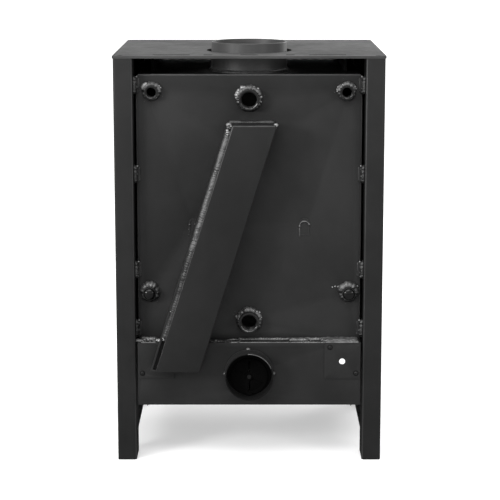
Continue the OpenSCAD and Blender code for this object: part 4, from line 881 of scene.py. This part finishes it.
# Places of the lumps about a corner, and their sizes, in mm
LUMPS = [(0, 0, -0.6, 4.6), (-2.2, 1.0, -2.6, 2.8), (2.0, 1.4, -1.6, 2.6), (0.5, 2.2, 0.4, 2.2),
         (-0.6, 2.6, -3.6, 2.0)]
for cx in (duct_lo.x + 5.0 * MM, top_x - 5.2 * MM):
    for dx, dy, dz, r in LUMPS:
        bead.blob(Vector((cx + dx * MM, DUCT_Y + (dy - 5.4) * MM, duct_hi.z + dz * MM)),
                  Z + Y * 0.6 + X * dx * 0.1, r, 0.9)
for x, y, z, r in [(top_x - 4.6 * MM, -12.0, 2.6, 5.6), (top_x - 5.4 * MM, -7.4, 0.0, 5.0),
                   (top_x - 8.6 * MM, -5.0, 0.6, 2.6), (duct_lo.x + 1.6 * MM, -12.0, 2.4, 4.6),
                   (duct_lo.x + 2.6 * MM, -7.4, 0.4, 3.6)]:
    drops.blob(Vector((x, DUCT_Y + y * MM, duct_hi.z + z * MM)), Z + Y * 0.9, r, 0.85)
bead.make("channel_corner_lumps", None, "bright_weld")
drops.make("channel_edge_drops", None, "drop_weld")

# The seam between the boiler and the base box, on both sides of the channel
seam_z = rear_lo.z
slope = (top_x - foot_x) / (duct_hi.z - duct_lo.z)
seam_mid = foot_x - DUCT_W / 2 + slope * (seam_z - duct_lo.z)
left_of, right_of = seam_mid + DUCT_W / 2 + 3 * MM, seam_mid - DUCT_W / 2 - 3 * MM
end_x = rear_hi.x - 3 * MM
bead = Bead(5.5)
bead.lay(along_x(-end_x, Y_PLATE, seam_z), 22 * MM + end_x, lambda s: 5.2 - 1.6 * ramp(s, 0.06, 0.07), 5.4,
         fillet(), 0.3, ripple=0.2)
bead.lay(along_x(left_of, Y_PLATE, seam_z), end_x - left_of, 5.8, 4.2, fillet(), 0.3, 0.001)
# Beads beside these: start and length in m, and how far out and how large in mm
LAYERS = [(left_of + 20 * MM, end_x - left_of - 22 * MM, 9, 4.9), (left_of + 26 * MM, 0.030, 14, 4.2),
          (-end_x, 0.076, 8, 5.2), (-end_x + 2 * MM, 0.070, 14.5, 4.9), (-end_x, 0.066, 21, 3.0),
          (-0.118, 0.040, 6.5, 4.4)]
for x, length, y, size in LAYERS:
    bead.lay(along_x(x, Y_PLATE + y * MM, seam_z), length, size, 5.4, dome(), 0.3, 0.001, 5.2, 0.16)
bead.lay(along_x(left_of + 2 * MM, Y_REAR - 2.6 * MM, seam_z), end_x - left_of - 6 * MM, 1.3, 4.4, dome(9),
         0.4, 0.001, 1.9)
bead.lay(along_x(-end_x, Y_REAR - 2.4 * MM, seam_z), end_x + 20 * MM, lambda s: 1.9 if s < 0.12 else 1.5,
         5.0, dome(9), 0.35, 0.0015, 2.1)
pick = random.Random(21).uniform
for _ in range(34):
    left = pick(0, 1) < 0.3
    x = pick(left_of + 4 * MM, end_x - 3 * MM) if left else pick(-end_x + 3 * MM, -105 * MM)
    bead.blob(Vector((x, pick(Y_PLATE + 4 * MM, Y_REAR - 6 * MM), seam_z)), Z + Y * pick(0, 0.4),
              pick(1.2, 3.4), 0.75)
for _ in range(22):
    x = pick(44 * MM, right_of)
    bead.blob(Vector((x, pick(Y_PLATE + 3 * MM, Y_REAR - 4 * MM), seam_z)), Z, pick(1.0, 2.6), 0.7)
# Crater where the long bead starts: its centre, half sizes and mean radius
crater_x, crater_y, half_x, half_y, mean_r = 31 * MM, (Y_PLATE + Y_REAR) / 2, 13 * MM, 12 * MM, 12.4 * MM


def crater(s):
    c, d = math.cos(s / mean_r), math.sin(s / mean_r)
    return Vector((crater_x + half_x * c, crater_y + half_y * d, seam_z)), Vector((c, d, 0)), Z


bead.lay(crater, TAU * mean_r, 1.9, 3.0, dome(9), 0.35, 0.001, closed=True)
bead.make("seam_bead", "seam_weld", "seam_weld")
drops = Bead(8.1)
for x, y, r in [(177, 12, 4.4), (173, 14, 3.6), (181, 11, 3.2), (66, 14, 2.2), (60, 20, 1.6), (199, 7, 2.6),
                (206, 9, 3.0), (-150, 12, 3.6), (-154, 14, 2.6), (-146, 11, 2.4), (-170, 16, 2.2),
                (-112, 24, 2.0)]:
    drops.blob(Vector((x * MM, Y_PLATE + y * MM, seam_z + 1.2 * MM)), Z + Y * 0.7, r, 0.8)
drops.make("seam_drops", None, "drop_weld")

# Arched weld over the right rear stay, laid over its top and partway down its legs; its lower faces are
# darker, as painted shade
STAY_X, STAY_Z, STAY_W, STAY_H = 108 * MM, 0.4424, 9.5 * MM, 33 * MM
STAY_LEG, STAY_ARC = STAY_H - STAY_W, math.pi * STAY_W


def arch(s):
    """Up the left leg as seen from behind, over the top and down the other leg."""
    if s < STAY_LEG:
        out, at = X, Vector((STAY_W, 0, s))
    elif s < STAY_LEG + STAY_ARC:
        out = radial((s - STAY_LEG) / STAY_W)
        at = out * STAY_W + Z * STAY_LEG
    else:
        out, at = -X, Vector((-STAY_W, 0, 2 * STAY_LEG + STAY_ARC - s))
    return at + Vector((-STAY_X, Y_PLATE, STAY_Z)), out, Y


bead = Bead(1.9)
bead.lay(lambda s: arch(STAY_LEG * 0.1 + s), STAY_LEG * 0.85 + STAY_ARC,
         lambda s: 1.3 if s < STAY_LEG * 0.8 else 2.1, 3.4, dome(9, 0.5), 0.4, 0.0007)
# The other stay's weld shows only four bright drops
for x, z, r in [(8.2, 27.1, 2.2), (-2.6, 27.8, 1.5), (9.6, 17.6, 1.0), (9.8, 7.6, 0.9)]:
    bead.blob(Vector((STAY_X + x * MM, Y_PLATE + 1.0 * MM, STAY_Z + z * MM)), Y + Z * 0.5, r, 0.8)
bead.make("stay_beads", None, "bright_weld")


def up_from(x, y, z, side):
    """Path up a corner that opens towards the stove's middle."""
    return lambda s: (Vector((side * x, y, z + s)), X * -side, Y)


# Welds over the tabs: lumpy beads that fill the corner between the tab and the pillar's side
tab_x, tab_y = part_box("casing_tabs")[1].xy
tab_inner = tab_x - 10 * MM
TAB_ENDS = [(0.2475, 0.2775), (0.3651, 0.3951), (0.5539, 0.5839), (0.727, 0.757)]
bead, drops = Bead(3.3), Bead(5.1)
for side in (-1, 1):
    for k, (za, zb) in enumerate(TAB_ENDS):
        pick = random.Random(40 + k + side).uniform
        bead.lay(up_from(tab_x, tab_y - 0.6 * MM, za - 3.5 * MM, side), zb - za + 7 * MM, 7.8, 9.0,
                 fillet(11, 0.05), 0.18, 0.0009, 8.6, 0.12)
        bead.lay(up_from(tab_inner, Y_PLATE, za + 1 * MM, side), zb - za - 2 * MM, 2.2, 3.0, fillet(7),
                 0.4, 0.0008)
        for _ in range(3):
            at = Vector((side * (tab_x - pick(2, 7) * MM), tab_y + pick(2, 4) * MM, pick(za, zb)))
            bead.blob(at, Y + Z * pick(-0.3, 0.6), pick(2.0, 3.4), 0.6)
        drops.blob(Vector((side * (tab_x - 6.5 * MM), tab_y + 2.0 * MM, zb + 1.5 * MM)), Y + Z, 2.0, 0.9)
    top_z = TAB_ENDS[-1][1] - 12 * MM
    drops.blob(Vector((side * (tab_x - 2.0 * MM), tab_y + 5.0 * MM, top_z)), Y + Z, 1.6, 0.9)
bead.make("tab_beads", None, "tab_weld")
drops.make("tab_drops", None, "drop_weld")

# Three tacks that hold the air inlet's spigot
bead = Bead(8.8)
for turn in (88, 182, 358):
    out, along = radial(math.radians(turn)), radial(math.radians(turn + 90))
    bead.lay(lambda s: (SPIGOT + out * 47.3 * MM + along * (s - 4.5 * MM), out, Y), 9 * MM, 4.1, 3.0,
             fillet(), 0.3, 0.0006)
bead.make("spigot_tacks", "spigot_tack_welds", "bright_weld")


def round_path(x0, x1, z0, z1, r, step):
    """Evenly spaced points along a rounded rectangle in X and Z."""
    points = []
    corners = (x1 - r, z1 - r), (x0 + r, z1 - r), (x0 + r, z0 + r), (x1 - r, z0 + r)
    for k, (x, z) in enumerate(corners):
        points += [Vector((x, 0, z)) + radial(TAU / 4 * (k + i / 8)) * r for i in range(9)]
    sides = list(zip(points, points[1:] + points[:1]))
    total = sum((b - a).length for a, b in sides)
    count = int(total / step)
    out, dist, seg = [], 0.0, 0
    for k in range(count):
        target = total * k / count
        a, b = sides[seg]
        while dist + (b - a).length < target:
            dist += (b - a).length
            seg += 1
            a, b = sides[seg]
        out.append(a.lerp(b, (target - dist) / (b - a).length))
    return out


# Rope seal: a round braid pressed in the door's groove
lo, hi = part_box("door_rope_seal")
half_band = 5.3 * MM
ymid, yhalf = (lo.y + hi.y) / 2, (hi.y - lo.y) / 2
loop = round_path(lo.x + half_band, hi.x - half_band, lo.z + half_band, hi.z - half_band, 4 * MM, 1.6 * MM)
verts = []
cols = 18
for i, p in enumerate(loop):
    t = (loop[(i + 1) % len(loop)] - loop[i - 1]).normalized()
    out = Vector((t.z, 0, -t.x))
    for j in range(cols):
        u = TAU * j / cols
        weave = 0.90 + 0.085 * math.sin(4 * u + i * 0.85) * math.sin(4 * u - i * 0.85)
        verts.append(p + out * (math.cos(u) * half_band * weave) + Y * (ymid + math.sin(u) * yhalf * weave))
piece("rope_braid", mesh_from("rope_braid", verts, tube_faces(len(loop), cols, True)), "door_rope_seal",
      "rope")


# Skins with softened edges, for the sheet, plate and castings that show

def outer_fold(a, b):
    """The folds of a side casing along its pillars."""
    def on(v):
        return (min(abs(abs(v.x) - CASE_X), abs(abs(v.x) - IN_X)) < 0.3 * MM
                and min(abs(v.y - Y_REAR), abs(v.y - Y_FRONT)) < 0.3 * MM)
    return on(a) and on(b) and abs(a.z - b.z) > 0.02


def rim(a, b):
    """The upper and side edges of the boiler's rear plate, on its outer face."""
    def on(v):
        return abs(v.y - rear_hi.y) < 0.2 * MM
    return on(a) and on(b) and ((a + b) / 2).z > rear_lo.z + 2 * MM and (
        max(abs(a.x), abs(b.x)) > rear_hi.x - 8 * MM)


def second_paint(skin, name, where):
    """Gives the faces of a skin that the test picks another of the materials."""
    skin.data.materials.append(M[name])
    for poly in skin.data.polygons:
        if where(poly.center, poly.normal):
            poly.material_index = len(skin.data.materials) - 1


# The pillars' inner sides are near black, as painted shade, and their outer folds get a lighter paint, as a
# painted highlight
for node in ("left_side_casing", "right_side_casing"):
    skin = softened(node, 0.0004, "casing", bends=(0.0022, outer_fold))
    second_paint(skin, "inner", lambda c, n: abs(n.x) > 0.98 and abs(c.x) < IN_X + 0.5 * MM and c.y > 0)
    second_paint(skin, "fold", lambda c, n: 0.15 < n.y < 0.97 and abs(c.x) < IN_X + 2.5 * MM
                 and c.y > Y_REAR - 2.5 * MM)
# The cover plates' edge faces are near black: painted shade
for node in ("left_cover_plate", "right_cover_plate"):
    second_paint(softened(node, 0.0004, "base"), "inner", lambda c, n: abs(n.y) < 0.5)
# The rear plate's rounded rim gets a lighter paint: a painted highlight
second_paint(softened("rear_boiler_plate", 0.0006, "boiler", bends=(0.003, rim)), "rubbed",
             lambda c, n: 0.10 < n.y < 0.98 and n.z > -0.1 and (
                 c.z > rear_hi.z - 4 * MM or abs(c.x) > rear_hi.x - 4 * MM))
for node, width, material in [
    ("rear_base_panel", 0.0004, "base"), ("casing_tabs", 0.0008, "boiler"),
    ("flue_collar", 0.0003, "collar"), ("front_fascia", 0.0005, "casing"),
    ("front_base_panel", 0.0004, "casing"), ("door_frame", 0.0012, "door"),
    ("ash_drawer_front", 0.0006, "casing"), ("side_bricks", 0.0014, "brick"),
    ("rear_bricks", 0.0014, "brick"), ("baffle_plate", 0.0014, "brick"),
    ("log_guard", 0.0008, "grate"), ("hinge_brackets", 0.0008, "casing"),
    ("ash_drawer_handle", 0.0008, "handle"), ("ash_pan", 0.0003, "pan"),
    ("secondary_slider", 0.0003, "control"), ("primary_slider", 0.0003, "control"),
]:
    softened(node, width, material)

# The walls of the top plate's slots and holes are near black: painted shade
top_lo, top_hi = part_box("top_plate")
second_paint(softened("top_plate", 0.0005, "top"), "inner", lambda c, n: abs(n.z) < 0.6 and (
    abs(c.x) < top_hi.x - 12 * MM and top_lo.y + 12 * MM < c.y < top_hi.y - 12 * MM))


def from_spigot(c):
    """Direction from the spigot's axis, 1 long."""
    return Vector((c.x - SPIGOT.x, 0, c.z - SPIGOT.z)).normalized()


def at_mouth(c, n):
    """The faces round the spigot's outer end."""
    return n.y > 0.4 and c.y > SPIGOT.y + 30 * MM


# The spigot's inner faces and its mouth are near black, as painted shade; an upper arc of the mouth is light
# metal, as a painted highlight
tube = softened("air_inlet_spigot", 0.0004, "casing")
second_paint(tube, "inner", lambda c, n: n.dot(from_spigot(c)) < -0.3)
second_paint(tube, "inner", at_mouth)
second_paint(tube, "rim", lambda c, n: at_mouth(c, n) and from_spigot(c).x < 0.05 and from_spigot(c).z > 0.4)


def channel_fold(a, b):
    """The channel's long folds on its outer face: beside the weld, and away from it."""
    def on(v):
        off = (v - low).dot(edge_out)
        near = min(abs(off + STEP_W), abs(off + DUCT_W * edge_dir.z)) < 0.7 * MM
        return near and abs(v.y - DUCT_Y) < 0.2 * MM
    return on(a) and on(b) and abs(a.z - b.z) > 0.05


# The channel's fold beside its weld gets a lighter paint: a painted highlight
second_paint(softened("air_channel", 0.0007, "channel", bends=(0.0028, channel_fold)), "rubbed",
             lambda c, n: 0.1 < n.y < 0.97 and n.dot(edge_out) > 0.1 and c.z > weld_z
             and abs((c - low).dot(edge_out) + STEP_W) < 3 * MM)

# CAD nodes that keep their own mesh
for material, names in {
    # The rails under the top plate and the boiler shell are near black: painted shade
    "inner": ["top_plate_rails", "boiler_shell"],
    "boiler": ["jacket_rings", "jacket_stays", "front_frame", "air_passage"],
    # The air shutter's near black is its dark paint and painted shade
    "casing": ["ash_box"], "shutter": ["air_shutter"], "dull_screw": ["shutter_screw"],
    "scale": ["flue_passage", "hearth_plate", "firebox_shell", "baffle_studs"], "grate": ["grate"],
    "control": ["slider_guides", "primary_guides"], "zinc": ["hinge_pins", "glass_clips", "latch_tongue"],
    "glass": ["door_glass"], "gasket": ["glass_gasket"], "handle": ["door_lever"],
}.items():
    for node in names:
        wear(nodes[node], material)


# Floor, light and camera

def stage_material(name):
    """Pale matt floor; what sees it, but not what it lights, finds it nearly white."""
    n = Surface(name)
    seen = n.seen_only("Is Transmission Ray")
    pale = n.mix(n.noise(1.2, 3.0), grey(0.84), grey(0.88))
    n.set(Base_Color=n.mix(seen, grey(0.50), pale), Roughness=0.9, Specular_IOR_Level=0.1,
          Emission_Color=(1.0, 1.0, 1.0, 1.0), Emission_Strength=n.times(seen, 0.45))
    return n.owner


bm = bmesh.new()
bmesh.ops.create_grid(bm, x_segments=6, y_segments=6, size=90.0)
floor_mesh = bpy.data.meshes.new("floor")
bm.to_mesh(floor_mesh)
bm.free()
floor_mesh.materials.append(stage_material("floor_paint"))
floor = placed("floor", floor_mesh)

world = bpy.data.worlds.new("studio")
scene.world = world
sky = Nodes(world)
blend = sky.add("MixShader")
sky.put(blend.inputs[0], sky.seen_only("Is Glossy Ray", "Is Transmission Ray"))
# The sky is dimmer for what it lights than for what sees it
for socket, strength in zip(blend.inputs[1:], (0.42, 1.0)):
    sky.put(socket, sky.fill(sky.add("Background"), Color=(1, 1, 1, 1), Strength=strength)[0])
sky.fill(sky.add("OutputWorld"), Surface=blend.outputs[0])


def aimed(light, at, target):
    obj = placed(light.name, light)
    obj.location = at
    obj.rotation_euler = (Vector(target) - Vector(at)).to_track_quat("-Z", "Y").to_euler()


def softbox(name, at, target, size, power):
    light = bpy.data.lights.new(name, "AREA")
    light.shape = "RECTANGLE"
    light.size, light.size_y = size
    light.energy = power
    aimed(light, at, target)


def wide_lamp(name, direction, strength, spread):
    """A lamp far away whose light is even over the whole floor."""
    light = bpy.data.lights.new(name, "SUN")
    light.energy = strength
    light.angle = math.radians(spread)
    aimed(light, Vector(direction) * 5, (0, 0, 0))


wide_lamp("key_light", (0.35, 0.55, 1.0), 1.25, 60)
wide_lamp("front_light", (-0.5, -0.9, 0.9), 1.0, 60)
softbox("rear_left_light", (2.2, 2.1, 1.2), (0, 0.2, 0.4), (0.8, 0.6), 44)
softbox("rear_right_light", (-2.2, 2.1, 1.2), (0, 0.2, 0.4), (0.5, 0.45), 13)
softbox("rear_top_light", (0.2, 1.7, 2.2), (0, 0.2, 0.75), (1.6, 0.8), 17)
softbox("front_fill", (-2.3, -2.6, 1.6), (0, -0.2, 0.45), (1.0, 1.4), 26)

# The camera stands a little right of the stove's middle as seen from behind, and looks down
CAMERA_SIDE, CAMERA_BACK, CAMERA_UP = -1.6 * MM, 3.2, 1.055
CAMERA_PITCH = math.radians(10.3)
cam_data = bpy.data.cameras.new("camera")
cam_data.sensor_width, cam_data.lens, cam_data.shift_y = 36.0, 121.0, -0.05
cam_data.clip_start, cam_data.clip_end = 0.1, 300.0
cam = placed("camera", cam_data)
cam.location = (CAMERA_SIDE, Y_REAR + CAMERA_BACK, CAMERA_UP)
cam.rotation_euler = (math.pi / 2 - CAMERA_PITCH, 0, math.pi)
scene.camera = cam

scene.view_settings.view_transform = "Standard"
